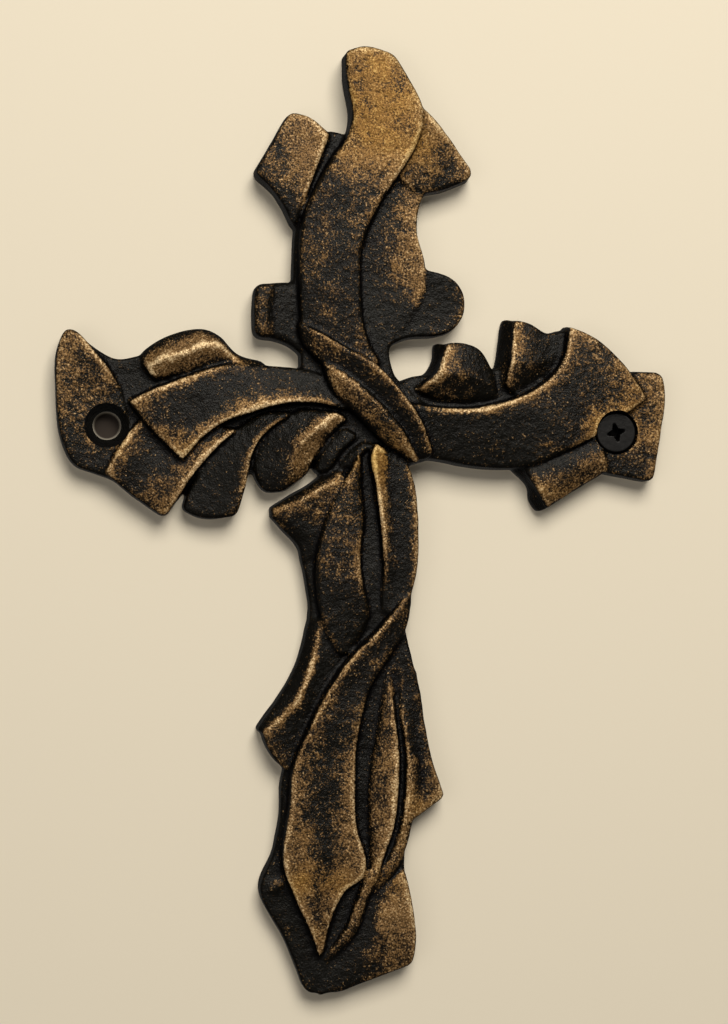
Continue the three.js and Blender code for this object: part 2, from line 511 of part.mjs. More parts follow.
const cross = new THREE.Group();
cross.add(piece("cross_casting", castingSolid(), castIron));
cross.add(piece("screw", screwSolid(), blackSteel));

export default cross;
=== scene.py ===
# %% [markdown]
# # A cast iron wall cross
# The object is one flat-backed iron casting, about 200 mm tall, modelled as a bundle of leaf-like
# folds that cross and wrap each other. It is painted satin black, and bronze paint is rubbed over
# the high places. A countersunk screw holds its right arm, and a second hole waits in the left arm.
#
# A sculptor would press strips of clay over one another, cast a mould from them and pour iron. This
# lesson does the same: every fold is a strip worked out with numpy, the strips are melted together
# by a voxel remesh, rubbed smooth, and then finished with paint that knows where the ridges are.

import math

import bpy
import numpy as np
from mathutils import Matrix, Vector


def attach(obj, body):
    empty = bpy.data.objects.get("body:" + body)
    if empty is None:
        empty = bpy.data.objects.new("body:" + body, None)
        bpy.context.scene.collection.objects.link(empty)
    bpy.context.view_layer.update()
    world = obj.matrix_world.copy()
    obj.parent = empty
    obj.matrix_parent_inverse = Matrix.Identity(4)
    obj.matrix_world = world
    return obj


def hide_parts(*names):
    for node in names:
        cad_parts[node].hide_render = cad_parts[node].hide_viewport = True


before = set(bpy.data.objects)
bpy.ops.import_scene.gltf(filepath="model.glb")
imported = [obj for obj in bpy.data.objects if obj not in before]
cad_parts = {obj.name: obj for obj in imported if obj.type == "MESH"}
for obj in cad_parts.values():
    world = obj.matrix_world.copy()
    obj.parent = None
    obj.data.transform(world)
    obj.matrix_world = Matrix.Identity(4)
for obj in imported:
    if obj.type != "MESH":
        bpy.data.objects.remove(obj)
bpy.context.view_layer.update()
print("nodes in the frame:", sorted(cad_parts))

# %% [markdown]
# ## Sizes
# All sizes are in millimetres, as the foundry would write them down, and become metres only when a
# mesh is made. GROUND is the low sheet of iron that the folds stand on. RELIEF is how far the tallest
# fold stands over it. DRAFT is the taper that lets the casting leave its sand mould.

# %% Sizes of the casting and the screw
MM = 0.001
GROUND = 4.6
RELIEF = 7
RIM_RADIUS = 0.6
CORNER_RADIUS = 1.2
DRAFT = 0.06
LEFT_HOLE = (-54.2, -2.5)
RIGHT_HOLE = (54.2, -0.8)
SCREW_SEAT = 5.4
HEAD_RADIUS = 4.2
SHANK_RADIUS = 2.1
HEAD_RIM = 0.4
HEAD_CLEARANCE = 0.5
BORE_CLEARANCE = 0.9
SCREW_LENGTH = 25.4
COUNTERSINK_ANGLE = 82
print("casting stands", GROUND + RELIEF, "mm off the wall at most")

# %% [markdown]
# ## The folds as drawn lines
# Every fold is described the way a carver would draw it: two to four lines along the strip. A point of
# a line is three numbers: its place across, its place up, and its lift, 0 on the ground and 1 on the
# tallest ridge. A comma ends a point and a semicolon ends a line. Lines are easier to adjust against
# the real thing than a sculpted mesh, because one number moves one bend of one fold. crown swells the
# strip between its lines, bow rounds its ends outward, rim and corner are the two rounding radii.

# %% How a fold is written down
def fold(name, text, **shape):
    """A fold's name, its drawn lines as lists of points, and what shapes its front."""
    drawn = [[[float(number) for number in point.split()] for point in line.split(",")]
             for line in text.split(";")]
    return name, drawn, shape


print("one fold:", fold("small leaf", "0 0 .2, 5 9 .1; 4 0 .3, 7 8 .1", crown=0.06))

# %% Folds of the upper arm
UPPER_ARM = [
    fold("tall blade", """
    -6.3 78.2 .4, -5.8 71 .44, -4.5 64.5 .46, -5.6 59.5 .46, -8.9 54.2 .44, -14.4 42 .42, -14.8 30 .4,
    -14.2 19.5 .34;
    3.9 77.9 .36, 7.8 71.6 .46, 10.4 66.2 .52, 9.8 60.5 .54, 6.7 54 .56, 1.6 45.7 .56, -1.8 37 .56,
    -1.9 28 .52, -.6 18.5 .46, 3.2 11.5 .4""", crown=0.06, bow=(0.9, 0), corner=1.6),
    fold("right wing", """
    8 67.9 .46, 11.6 65.6 .42, 16.2 60.6 .3, 21.6 54 .2;
    4 54 .34, 9 49 .22, 14.4 49.3 .16, 21.4 52.2 .18""", corner=1),
    fold("right valley", """
    5.5 54 .12, 1 45 .08, -2.6 36 .06, -2.6 26 .08, -1.2 17 .12, 3.5 8 .15;
    12.6 51 .14, 10.4 45.6 .2, 10.1 40.5 .26, 11.9 34 .26, 12 28 .2, 8.4 20.5 .16, 4.9 15.2 .14,
    6.4 9 .12"""),
    fold("right lobe", """
    -1 33.5 .08, 8 33 .2, 12.2 32.5 .22, 16.5 31.5 .2, 20.8 29.5 .2;
    -1 13 .1, 5 16.2 .12, 9 18 .14, 15 18.6 .16, 20.8 20.6 .18""", crown=-0.06, corner=4),
    fold("left wing", """
    -17.6 64.6 .22, -13.4 63.8 .24, -9 60.4 .22;
    -24.9 51.6 .24, -20.2 47.4 .22, -16 40.2 .14""", crown=0.02),
    fold("left trough", """
    -9.6 61.4 -.04, -15.4 42 -.04, -16 33 .02, -15.8 22 .02;
    -3 60 -.04, -8 42 -.04, -9 33 0, -9 22 0"""),
    fold("left saddle", """
    -22.4 28.3 .1, -17 28.9 .06, -11 29 .06;
    -22.4 17.3 .1, -17.2 16.1 .04, -13.3 13.2 .02, -10 8.5 .02""", rim=1.6),
    fold("left stub", """
    -23.9 28.2 .24, -24.1 23 .28, -23.9 17.2 .24;
    -19.4 28.4 .16, -20 23 .18, -19.6 16.8 .16""", rim=1.5, corner=1.6),
]
print("upper arm:", len(UPPER_ARM), "folds")

# %% The two straps that wrap the crossing
CROSSING = [
    fold("upper strap", """
    -15.2 20.6 .42, -9.7 17.9 .72, -4.2 14.8 .9, 1 12.1 1, 5 8.5 1, 8.8 4.2 .96, 11.8 -.1 .86,
    14.5 -6.9 .62;
    -13.8 16 .3, -9.7 12 .5, -5.2 8.8 .6, -1.2 5.6 .64, 3.3 1.6 .64, 6.8 -2 .6, 9.4 -6 .5, 11.4 -8.2 .4
    """, corner=1.4),
    fold("lower strap", """
    -9.7 12.3 .56, -5.6 10.1 .8, -.8 6.6 .9, 4.2 2.1 .9, 7.9 -2.2 .84, 9.6 -5.2 .74, 11.6 -8.3 .52;
    -9.2 11 .5, -7.6 6.8 .52, -4.4 3.4 .56, -.4 -.2 .6, 3.4 -4 .58, 6.4 -6.3 .52, 10.4 -8.8 .42
    """, crown=0.06),
    fold("crossing ground", """
    -14 14 .05, -6 16 .1, 4 12 .1, 8 8 .05, 14 3 .1;
    -12 -2 .1, -6 -8 .1, 2 -10 .1, 8 -9.4 .1, 14 -7.6 .1"""),
]
print("crossing:", len(CROSSING), "folds")

# %% Blades of the left arm
LEFT_ARM = [
    fold("left ground", """
    -61 16.6 .02, -56.3 13.2 0, -52.4 11.5 -.04, -48.8 12.1 -.04, -42 14 0;
    -60.5 -11 0, -53.6 -13.5 0, -47 -17.4 0, -42.6 -20 0, -38 -17 0"""),
    fold("sweep ground", """
    -46 0 0, -38 3 0, -28 6 0, -16 8 0, -6 6 .05;
    -39 -14 0, -33 -10 0, -27 -8 0, -19 -5 0, -7 -9 .02"""),
    fold("left plate", """
    -63.6 17.5 .16, -65.1 12 .18, -64.9 4 .16, -63.9 -4.5 .14, -61.2 -11 .1;
    -61 17.2 .26, -57 12.8 .3, -53.4 8.4 .2, -50.8 3 .08, -49.5 -7 .08, -52 -13.9 .06""", corner=2),
    fold("hump", """
    -48 12.4 -.04, -43.8 15.8 .04, -38 18 .1, -34.4 18.3 .12, -31 16.9 .12, -27.2 13.3 .08, -21 11.7 .06;
    -46.6 9.6 .3, -42.6 11.9 .5, -38 13.2 .54, -34.4 14.9 .52, -31 14.9 .44, -28 12.2 .28, -22 10.4 .2;
    -45 7.2 .2, -42 7.6 .16, -37 8.6 .12, -33 9.4 .1, -30 9.6 .1, -27 9.6 .1, -22 8.8 .1
    """, rim=1.1, corner=1.6),
    fold("long blade", """
    -50 2.7 .44, -44.7 5.4 .52, -38.3 8 .52, -29.2 11 .42, -21 10.9 .26, -13.6 10.4 .2, -8 9 .2;
    -38.4 -9.4 .54, -34.4 -4.7 .6, -29.6 -1.2 .64, -24.4 .9 .64, -18 3 .62, -10.6 3.5 .54, -4 2.2 .45
    """, crown=-0.03, bow=(0.4, 0), corner=0.6),
    fold("second blade", """
    -54.4 -12.5 .24, -51.6 -7.2 .28, -48.3 -2.3 .22, -43 2 .1;
    -48 -17.4 .14, -45.6 -12.6 .17, -41.8 -7 .12, -37.2 -2.4 .06;
    -41.5 -21.7 .16, -39.6 -18.3 .3, -35.8 -12 .42, -31.6 -6.9 .46, -26.6 -2.4 .42
    """, crown=-0.03, corner=1.4),
    fold("third blade", """
    -38.4 -20 -.02, -34.8 -12 .04, -30 -5 .1, -22 1 .2;
    -26.8 -21.2 .14, -25 -15 .28, -23.7 -8 .4, -21 -3 .44, -15 1.4 .4""", bow=(0.8, 0), corner=1.8),
    fold("fourth blade", """
    -20.6 -15.8 -.04, -22.8 -12.4 0, -22.9 -8.2 0, -20 -3 .1, -14 2 .2;
    -16.8 -14.9 .1, -15.6 -11.8 .3, -14.8 -8 .4, -12 -3.6 .52, -6.3 1.6 .48;
    -11.7 -11.5 .02, -10.6 -8.4 .16, -7.6 -3.4 .26, -3.5 .4 .34""", bow=(0.3, 0), corner=1.2),
    fold("first tuck", """
    -10.4 -11.4 .06, -8.8 -6.6 .16, -4.6 -1.4 .26;
    -7.2 -10.6 .18, -5.4 -7.2 .3, -1.6 -3.2 .38"""),
    fold("second tuck", """
    -5.4 -10.4 .1, -3.8 -7.6 .18, -.4 -4.4 .26;
    -2.6 -9.6 .22, -1.2 -7.4 .3, 2.2 -5 .36"""),
]
print("left arm:", len(LEFT_ARM), "folds")

# %% Blades and tabs of the right arm
RIGHT_ARM = [
    fold("right ground", """
    7.2 8.6 -.04, 11.6 10 -.06, 20 11 -.04, 27.2 11.8 -.04, 36 14 0, 43 19.5 0;
    8 -3 0, 20 -3 0, 30 -2 0, 42 2 0, 50 8 0, 52 14 0"""),
    fold("broad blade", """
    7 4.4 .5, 15.5 3.3 .5, 23 3.4 .5, 32 5.9 .52, 39.6 10.8 .52, 42.1 15 .5, 43.1 21.9 .4;
    7 -6.6 .24, 16 -7.7 .24, 25 -9 .24, 34.6 -8.6 .28, 44 -4.6 .42, 50 -1.4 .42, 55.5 2.6 .4,
    60.6 6.8 .34""", crown=0.02, bow=(0, 2.1), corner=1),
    fold("right plate", """
    56.4 12.4 .1, 52 4 .12, 50 -3 .1, 51.6 -9.4 .06;
    63.9 12.2 .18, 64.6 7.5 .22, 64.1 0 .22, 62.7 -11.2 .14""", corner=1.6),
    fold("under blade", """
    34.4 -9.4 .2, 44 -5 .2, 51 -2 .16;
    39.6 -17.5 .1, 46.3 -13 .1, 52.6 -9.1 .08""", crown=0.16, corner=0.6),
    fold("under blade end", """
    32.4 -9.4 -.3, 35.8 -12.6 -.4, 36.6 -16 -.4, 38 -18.3 -.4;
    35.2 -9.2 .06, 36.6 -11.8 .14, 38 -14.8 .12, 40 -17.6 0""", corner=0.8),
    fold("first tab", """
    17 17.1 .22, 20.6 17.2 .2, 24.3 15.9 .1, 27 12.2 -.02;
    15 10.6 .46, 19 10.6 .44, 23.4 9.8 .3, 27.6 8.4 .12;
    10.8 6.8 .24, 16 5.2 .08, 22 5 .06, 28.4 6 .06""", corner=1),
    fold("first tab end", """
    14.6 17.2 -.3, 14.5 13.5 -.4, 12.8 10.4 -.4, 9 9 -.3;
    17.6 16.9 .02, 16.8 13 .12, 14.8 9.6 .16, 10.8 6.6 .12""", corner=0.8),
    fold("second tab", """
    31.2 22.6 .24, 35 21.8 .2, 38.9 20 .1, 42.6 20.9 .06;
    30.6 13.5 .42, 34.5 13 .34, 38.5 14 .18, 42 16.5 .08;
    29.6 8.3 .24, 32.5 6.6 .1, 37 9 .04, 41.5 12.4 .02""", corner=1),
    fold("second tab end", """
    29.7 22.9 -.3, 28.8 17.5 -.4, 28.2 12.8 -.4, 27.4 8 -.3;
    31.8 22.3 .04, 30.8 17 .14, 30 13 .16, 29.6 7.8 .1""", corner=0.8),
]
print("right arm:", len(RIGHT_ARM), "folds")

# %% Leaves and straps of the lower arm
LOWER_ARM = [
    fold("upper leg ground", """
    -8 -9 0, -12.9 -26.5 -.04, -11.7 -33 -.04, -10.5 -41 -.04, -12 -50 -.02;
    0 -5 .1, 0 -22 .08, 1 -30 .12, 1 -38 .14, -1 -53 .06;
    9.4 -7.6 .1, 11.7 -20 .12, 12.1 -28 .12, 10.6 -38 .1, 9.8 -44.5 .08"""),
    fold("hip wing", """
    -19.8 -19.2 .02, -15.2 -16.2 0, -11.8 -14.2 0, -9.2 -12.2 .04, -5 -10.2 .1;
    -19.1 -19.7 .08, -13.9 -17.3 .28, -9.6 -14.6 .36, -4.6 -11.6 .36;
    -19 -20 .08, -15.2 -22 .18, -11.4 -25 .14, -8 -28 .12;
    -19.6 -20.4 .02, -17 -23.2 0, -13.4 -26.8 0, -12.2 -30 0""", corner=0.8),
    fold("spear leaf", """
    -1.3 -7.4 .42, -4.8 -14 .42, -7.8 -21 .4, -9.5 -29 .36, -9.3 -36 .34, -7.8 -43 .3, -4.4 -49.4 .22;
    -.9 -7.8 .36, -.5 -14 .32, .2 -21 .36, -.3 -28 .38, .4 -35 .34, 1.8 -41 .26, -2 -49.6 .18
    """, crown=0.05),
    fold("bright strip", """
    2 -4.4 .52, 1.3 -8 .58, 2.3 -13 .54, 3.3 -19 .48, 4.2 -25 .42, 4.7 -32 .34, 4.6 -40 .22;
    5 -6.4 .36, 5.6 -12 .32, 6.3 -19 .3, 7 -26 .28, 7.2 -33 .26, 6.8 -41 .22;
    9.6 -9.2 .3, 10.8 -13 .3, 11.7 -19 .3, 12.1 -25 .3, 11.9 -31 .28, 10.4 -39 .24""", corner=1),
    fold("great leaf", """
    10.9 -35.2 .28, 7.9 -39 .44, 3.1 -44.7 .56, -1.3 -49.1 .62, -6.6 -56.8 .62, -10.1 -64.2 .6,
    -13.5 -73.6 .56, -14 -82 .54, -15.2 -93.4 .5, -12.3 -101 .44, -8.6 -108.6 .38, -6.9 -113.4 .3;
    11 -38 .2, 9.7 -44 .3, 7 -48.6 .42, 3.2 -55 .5, 1 -61 .52, -.2 -70 .52, -.2 -80 .5, .6 -86.5 .48,
    2.6 -93 .46, 1.8 -96.6 .44, -1.8 -99.4 .42, -4.4 -105.5 .36, -6 -112.6 .28""", crown=-0.03),
    fold("thigh wing", """
    -10.5 -42 -.06, -12.7 -51 -.06, -16.4 -58.6 -.04, -21.4 -66.2 .02;
    -8.4 -42 .18, -10.2 -52 .3, -12.9 -59 .32, -19.8 -66 .18;
    -3 -46 .1, -4.5 -54 .1, -8.5 -63 .1, -14.6 -74.6 .08""", bow=(0, 1)),
    fold("lower leg ground", """
    -12 -66 0, -15.4 -76 -.04, -15.6 -84 -.04, -17 -92 -.02, -19.4 -99.6 0, -14.1 -110 -.02,
    -9.2 -121.4 -.02;
    0 -60 .08, 1.4 -76 .06, 1.6 -84 .06, 2 -92 .08, 2 -99 .08, 2 -108 .08, -2 -121 .06;
    12 -56 .1, 11.4 -76 .08, 11.4 -84 .08, 11 -92 .1, 11.2 -96 .12, 13.9 -108.5 .14, 13.2 -114.8 .1
    """, corner=1.6),
    fold("heel nub", """
    -18.2 -99.6 .04, -16.4 -97.4 .12, -14.6 -96.8 .06;
    -17.4 -100.6 .04, -15.6 -99.8 .1, -14.2 -98.8 .06"""),
    fold("knee ground", """
    9 -42 .12, 4 -49 .12, 0 -58 .08, 0 -72 .06;
    9.9 -44 .16, 11.4 -50 .2, 13.4 -57 .14, 15.6 -70 .08"""),
    fold("middle blade", """
    5.8 -52 .12, 4.7 -63 .18, 3.3 -72 .18, 3 -82 .18, 3.5 -90 .2, 3.6 -96 .24;
    6.8 -52 .14, 8 -61.6 .34, 9 -70 .44, 8.9 -79 .44, 8.2 -86 .42, 6 -93.2 .38, 4.8 -98.2 .3
    """, crown=0.04),
    fold("outer blade", """
    8.6 -52 .18, 9.2 -61 .24, 10.4 -68.6 .32, 11.3 -75 .34, 11.6 -84.6 .24;
    10.8 -52 .18, 11.9 -61 .16, 13.2 -70 .12, 14.6 -77 .12, 14.4 -82.8 .14;
    12.4 -52 .12, 14.1 -61 .14, 15.8 -69.5 .18, 17.2 -74 .2, 19.2 -79.2 .16""", corner=1),
    fold("outer ribbon", """
    10.6 -70 .3, 10.7 -78 .31, 10.2 -84 .28, 9.2 -88.6 .26, 7.2 -93.2 .24, 3.8 -98.8 .18;
    13.4 -70 .2, 13.2 -78 .22, 12.2 -85 .2, 11.2 -90 .2, 9 -95 .2, 4.4 -100.4 .14""", rim=0.7),
    fold("narrow strap", """
    3.4 -93.8 .36, 1.9 -98 .36, .5 -102 .32, -.8 -106 .28, -2.8 -109.8 .22, -5.8 -114 .08;
    5.3 -95.4 .36, 3.9 -99.2 .34, 2.5 -103.4 .3, 1.3 -107.3 .26, -1.3 -110.8 .18, -5.2 -114.6 .06
    """, rim=0.7),
    fold("foot plate", """
    4 -98 .06, 1.6 -107 .06, -3 -115 .06, -7.2 -122 .04;
    6.4 -98.6 .16, 6.2 -106 .22, 5 -112 .18, 2 -119.2 .1;
    11 -94.6 .2, 12.8 -101.6 .24, 13.9 -108.6 .22, 13.3 -114.9 .12""", corner=1.4),
]
print("lower arm:", len(LOWER_ARM), "folds")

FOLDS = UPPER_ARM + CROSSING + LEFT_ARM + RIGHT_ARM + LOWER_ARM
print("folds drawn:", len(FOLDS))

# %% [markdown]
# ## From lines to the front of a fold
# On the casting a fold is a ribbon of metal with rounded rims. It could be a Bezier surface moulded by
# hand, but a loft is exact: smooth curves are laid through the drawn points, and the ribbon is spread
# between them. The rims are then let down along a quarter circle, and the corners are pulled in.

# %% Smooth curves through the drawn points
def smooth_line(points, pieces=40):
    """Centripetal Catmull-Rom curve. Between two points it is a cubic whose end slopes come from the
    neighbours, each weighed by the square root of its distance; the first and last points have
    neighbours mirrored through them. Returns the points, and how far along each lies."""
    p = np.asarray(points, float)
    p = np.vstack([2 * p[0] - p[1], p, 2 * p[-1] - p[-2]])
    step = np.sqrt(np.linalg.norm(np.diff(p, axis=0), axis=1))[:, None]
    before, here, after = step[:-2], step[1:-1], step[2:]
    a, b, c, d = p[:-3], p[1:-2], p[2:-1], p[3:]
    slope_b = (b - a) / before - (c - a) / (before + here) + (c - b) / here
    slope_c = (c - b) / here - (d - b) / (here + after) + (d - c) / after
    b, c, slope_b, slope_c = b[:, None], c[:, None], (slope_b * here)[:, None], (slope_c * here)[:, None]
    t = np.linspace(0, 1, pieces, endpoint=False)[None, :, None]
    bend = (2 * b - 2 * c + slope_b + slope_c) * t**3 + (3 * c - 3 * b - 2 * slope_b - slope_c) * t**2
    curve = np.vstack([(b + slope_b * t + bend).reshape(-1, 3), p[-2]])
    run = np.concatenate([[0], np.cumsum(np.linalg.norm(np.diff(curve, axis=0), axis=1))])
    return curve, run


def along_line(line, share):
    """The curve's points at these shares of its length."""
    curve, run = line
    return np.stack([np.interp(share * run[-1], run, curve[:, k]) for k in range(3)], axis=1)

bent, _ = smooth_line([[0, 0, 0], [10, 0, 5], [20, 0, 0]])
print("three drawn points become", len(bent), "points of a curve")

# %% Roundings and stations
TINY = 1e-6
ROUND_STATIONS = np.array([0, 0.04, 0.15, 0.33, 0.6, 1])
FINE_STEP = 0.7
RIM_SHARE = 0.4
CORNER_SHARE = 0.45


def round_off(distance, radius):
    """Drop of a quarter circle of this radius at a distance from where it ends: radius less the
    square root of radius squared minus what is left of the radius, squared."""
    radius = np.maximum(radius, TINY)
    inside = np.maximum(radius - distance, 0)
    return radius - np.sqrt(np.maximum(radius**2 - inside**2, 0))


def stations(length, radius, step=FINE_STEP):
    """Places from 0 to a length: close together where the ends are rounded, even steps between."""
    reach = min(radius, length * RIM_SHARE)
    ends = ROUND_STATIONS * reach
    count = max(round((length - 2 * reach) / step), 1)
    between = np.linspace(reach, length - reach, count + 1)[1:-1]
    return np.concatenate([ends, between, (length - ends)[::-1]])


print("stations of a fold 5 mm long:", np.round(stations(5, CORNER_RADIUS), 2))

# %% The front of a fold
def fold_front(drawn, crown=0, bow=(0, 0), rim=RIM_RADIUS, corner=CORNER_RADIUS):
    """The front surface as rows and columns of (across, height, up), with each point's share of the way
    along the fold and of the way across its drawn lines.
    Height is GROUND plus lift times RELIEF. A row's place p in the width gives a point of the straight
    line between two drawn curves; the crown adds 4 p (1 - p) of itself, rims and corners take away
    round_off of the distance to the side and to the end, and bow pushes the ends outward."""
    curves = [smooth_line([(x, GROUND + lift * RELIEF, z) for x, z, lift in line]) for line in drawn]
    length = (curves[0][1][-1] + curves[-1][1][-1]) / 2
    along = stations(length, max(rim, corner))
    share = along / length
    knots = np.stack([along_line(curve, share) for curve in curves])
    widths = np.linalg.norm(np.diff(knots[:, :, [0, 2]], axis=0), axis=2)
    middle = np.stack([along_line(curve, np.array([0.5])) for curve in curves])
    middle_width = np.linalg.norm(np.diff(middle[:, 0, [0, 2]], axis=0), axis=1).sum()
    v = stations(middle_width, rim)[None, :] / middle_width

    width = widths.sum(axis=0)[:, None]
    to_end = np.minimum(along, length - along)[:, None]
    inset = round_off(to_end, np.minimum(corner, width * CORNER_SHARE))
    place = inset + v * (width - 2 * inset)
    borders = np.vstack([np.zeros(len(along)), np.cumsum(widths, axis=0)])
    strip = np.zeros(place.shape, int)
    for border in borders[1:-1]:
        strip += place > border[:, None]
    row = np.arange(len(along))[:, None]
    part = np.clip((place - borders[strip, row]) / np.maximum(widths[strip, row], TINY), 0, 1)

    front = knots[strip, row] + part[..., None] * (knots[strip + 1, row] - knots[strip, row])
    to_side = np.minimum(v, 1 - v) * (width - 2 * inset)
    front[..., 1] += crown * RELIEF * 4 * part * (1 - part)
    front[..., 1] -= round_off(np.minimum(to_side, to_end), np.minimum(rim, width * RIM_SHARE))
    near_end = np.maximum(1 - 4 * np.minimum(share, 1 - share), 0)
    push = (np.where(share < 0.5, -bow[0], bow[1]) * near_end**2)[:, None]
    tangent = np.gradient(knots[0] + knots[-1], axis=0)
    tangent[:, 1] = 0
    tangent /= np.linalg.norm(tangent, axis=1)[:, None]
    front += (push * 4 * v * (1 - v))[..., None] * tangent[:, None]
    return front, np.broadcast_to(share[:, None], place.shape), (strip + part) / (len(drawn) - 1)


fronts = {name: fold_front(drawn, **shape) for name, drawn, shape in FOLDS}
print("fold fronts worked out, points:", sum(front[..., 0].size for front, _, _ in fronts.values()))

# %% [markdown]
# ## Closing the folds and melting them together
# Each ribbon gets walls that taper outward to the wall side, so it is a closed solid. The solids
# overlap freely, as strips of clay do. A boolean union would keep every thin sliver between them; a
# voxel remesh melts them into one skin instead, which is also how soft a sand casting looks.

# %% A closed shell from a front
BACK_EXCESS = 1.5


def grid_faces(rows, columns):
    """Quads of a grid of points that is stored row by row."""
    at = np.arange(rows * columns).reshape(rows, columns)
    return np.stack([at[:-1, :-1], at[:-1, 1:], at[1:, 1:], at[1:, :-1]], axis=-1).reshape(-1, 4)


def closed_fold(front):
    """Front grid, the same grid flat behind the wall plane, and a wall between their borders. The back
    border stands outward of the front one by DRAFT times the height. Metres, y is minus the height."""
    rows, columns = front.shape[:2]
    at = np.arange(rows * columns).reshape(rows, columns)
    border = np.concatenate([at[0, :-1], at[:-1, -1], at[-1, :0:-1], at[:0:-1, 0]])
    flat = front.reshape(-1, 3)
    ring = flat[border]
    after = np.roll(ring, -1, axis=0)
    turn = np.sign((ring[:, 0] * after[:, 2] - after[:, 0] * ring[:, 2]).sum())
    edge = after - np.roll(ring, 1, axis=0)
    outward = turn * np.stack([edge[:, 2], -edge[:, 0]], axis=1)
    outward /= np.maximum(np.linalg.norm(outward, axis=1), TINY)[:, None]
    back = flat * [1, 0, 1] - [0, BACK_EXCESS, 0]
    back[border, 0] += DRAFT * ring[:, 1] * outward[:, 0]
    back[border, 2] += DRAFT * ring[:, 1] * outward[:, 1]
    count = len(flat)
    quads = grid_faces(rows, columns)
    following = np.roll(border, -1)
    wall = np.stack([border, border + count, following + count, following], axis=1)
    faces = np.vstack([quads, quads[:, ::-1] + count, wall])
    if turn < 0:
        faces = faces[:, ::-1]
    return np.vstack([flat, back]) * [1, -1, 1] * MM, faces


shell_points, shell_faces = closed_fold(fronts["tall blade"][0])
print("shell of the tall blade:", len(shell_points), "points,", len(shell_faces), "faces")


# %% Pieces from points and faces
def placed(name, data):
    """A new object in the scene that holds this mesh, lamp or camera."""
    holder = bpy.data.objects.new(name, data)
    bpy.context.scene.collection.objects.link(holder)
    return holder


def new_piece(name, points, faces, smooth=True):
    """A mesh object at the origin from an array of points in metres and a list of faces."""
    mesh = bpy.data.meshes.new(name)
    mesh.from_pydata(points.tolist(), [], faces)
    mesh.polygons.foreach_set("use_smooth", np.full(len(mesh.polygons), smooth))
    mesh.update()
    return placed(name, mesh)


points, faces, count = [], [], 0
for front, _, _ in fronts.values():
    fold_points, fold_faces = closed_fold(front)
    points.append(fold_points)
    faces.append(fold_faces + count)
    count += len(fold_points)
clay = new_piece("clay strips", np.vstack(points), np.vstack(faces).tolist())
print("clay strips:", count, "points")

# %% Melt the strips into one skin
VOXEL = 0.45


def finished_mesh(piece):
    """The mesh of a piece with its modifiers worked out."""
    shown = piece.evaluated_get(bpy.context.evaluated_depsgraph_get())
    return bpy.data.meshes.new_from_object(shown)


remesh = clay.modifiers.new("melt", "REMESH")
remesh.mode = "VOXEL"
remesh.voxel_size = VOXEL * MM
skin = finished_mesh(clay)
bpy.data.objects.remove(clay)
print("melted skin:", len(skin.vertices), "points,", len(skin.polygons), "faces")

# %% [markdown]
# ## Rubbing the skin smooth
# Clay strips are smoothed with a wet thumb before the mould is cut. Laplacian smoothing does the
# same: each point moves part of the way to the mean of its neighbours. A slow hand-made waviness
# comes back afterwards, as value noise: random numbers on a coarse lattice, blended smoothly between.

# %% Smoothing and waviness
MELT_RUBS = 2
LATTICE = 32
# height in mm, cell in mm and seed of each wave
WAVES = ((0.16, 7, 3), (0.07, 2.6, 5))


def mesh_arrays(mesh):
    """Points in millimetres and edges of a mesh."""
    co = np.empty(len(mesh.vertices) * 3)
    mesh.vertices.foreach_get("co", co)
    edges = np.empty(len(mesh.edges) * 2, int)
    mesh.edges.foreach_get("vertices", edges)
    return co.reshape(-1, 3) / MM, edges.reshape(-1, 2)


def mesh_normals(mesh):
    """Normals of a mesh's points."""
    normals = np.empty(len(mesh.vertices) * 3)
    mesh.vertices.foreach_get("normal", normals)
    return normals.reshape(-1, 3)


def rubbed(values, edges, times, strength=0.5):
    """Each row of values moves by this strength to the mean of its neighbours, as many times as asked."""
    one, other = edges.T
    size = len(values)
    share = strength / np.maximum(np.bincount(one, minlength=size) + np.bincount(other, minlength=size), 1)
    out = values.copy()
    for _ in range(times):
        total = np.stack([np.bincount(one, column[other], size) + np.bincount(other, column[one], size)
                          for column in out.T], axis=1)
        out = out * (1 - strength) + total * share[:, None]
    return out


def waviness(points, cell, seed):
    """Value noise: a lattice of random numbers from -1 to 1, cell millimetres apart, blended with the
    smooth step 3t² - 2t³ along each axis."""
    place = points / cell
    low = np.floor(place).astype(int)
    t = place - low
    t = t * t * (3 - 2 * t)
    lattice = np.random.default_rng(seed).uniform(-1, 1, (LATTICE, LATTICE, LATTICE))
    total = 0
    for corner in np.ndindex(2, 2, 2):
        weight = np.prod(np.where(corner, t, 1 - t), axis=1)
        total = total + weight * lattice[tuple(((low + corner) % LATTICE).T)]
    return total


co, edges = mesh_arrays(skin)
co = rubbed(co, edges, MELT_RUBS)
wave = sum(height * waviness(co, cell, seed) for height, cell, seed in WAVES)
co += mesh_normals(skin) * wave[:, None]
skin.vertices.foreach_set("co", (co * MM).ravel())
skin.update()
casting = placed("cross_skin", skin)
print("waviness from", round(wave.min(), 2), "to", round(wave.max(), 2), "mm")

# %% [markdown]
# ## The flat back and the screw holes
# The real back is the open side of the sand mould, ground flat. Both holes are countersunk for a
# screw: a bore that clears the shank and a cone that takes the head. Boolean cuts keep these edges
# crisp, which the remesh alone would blur.

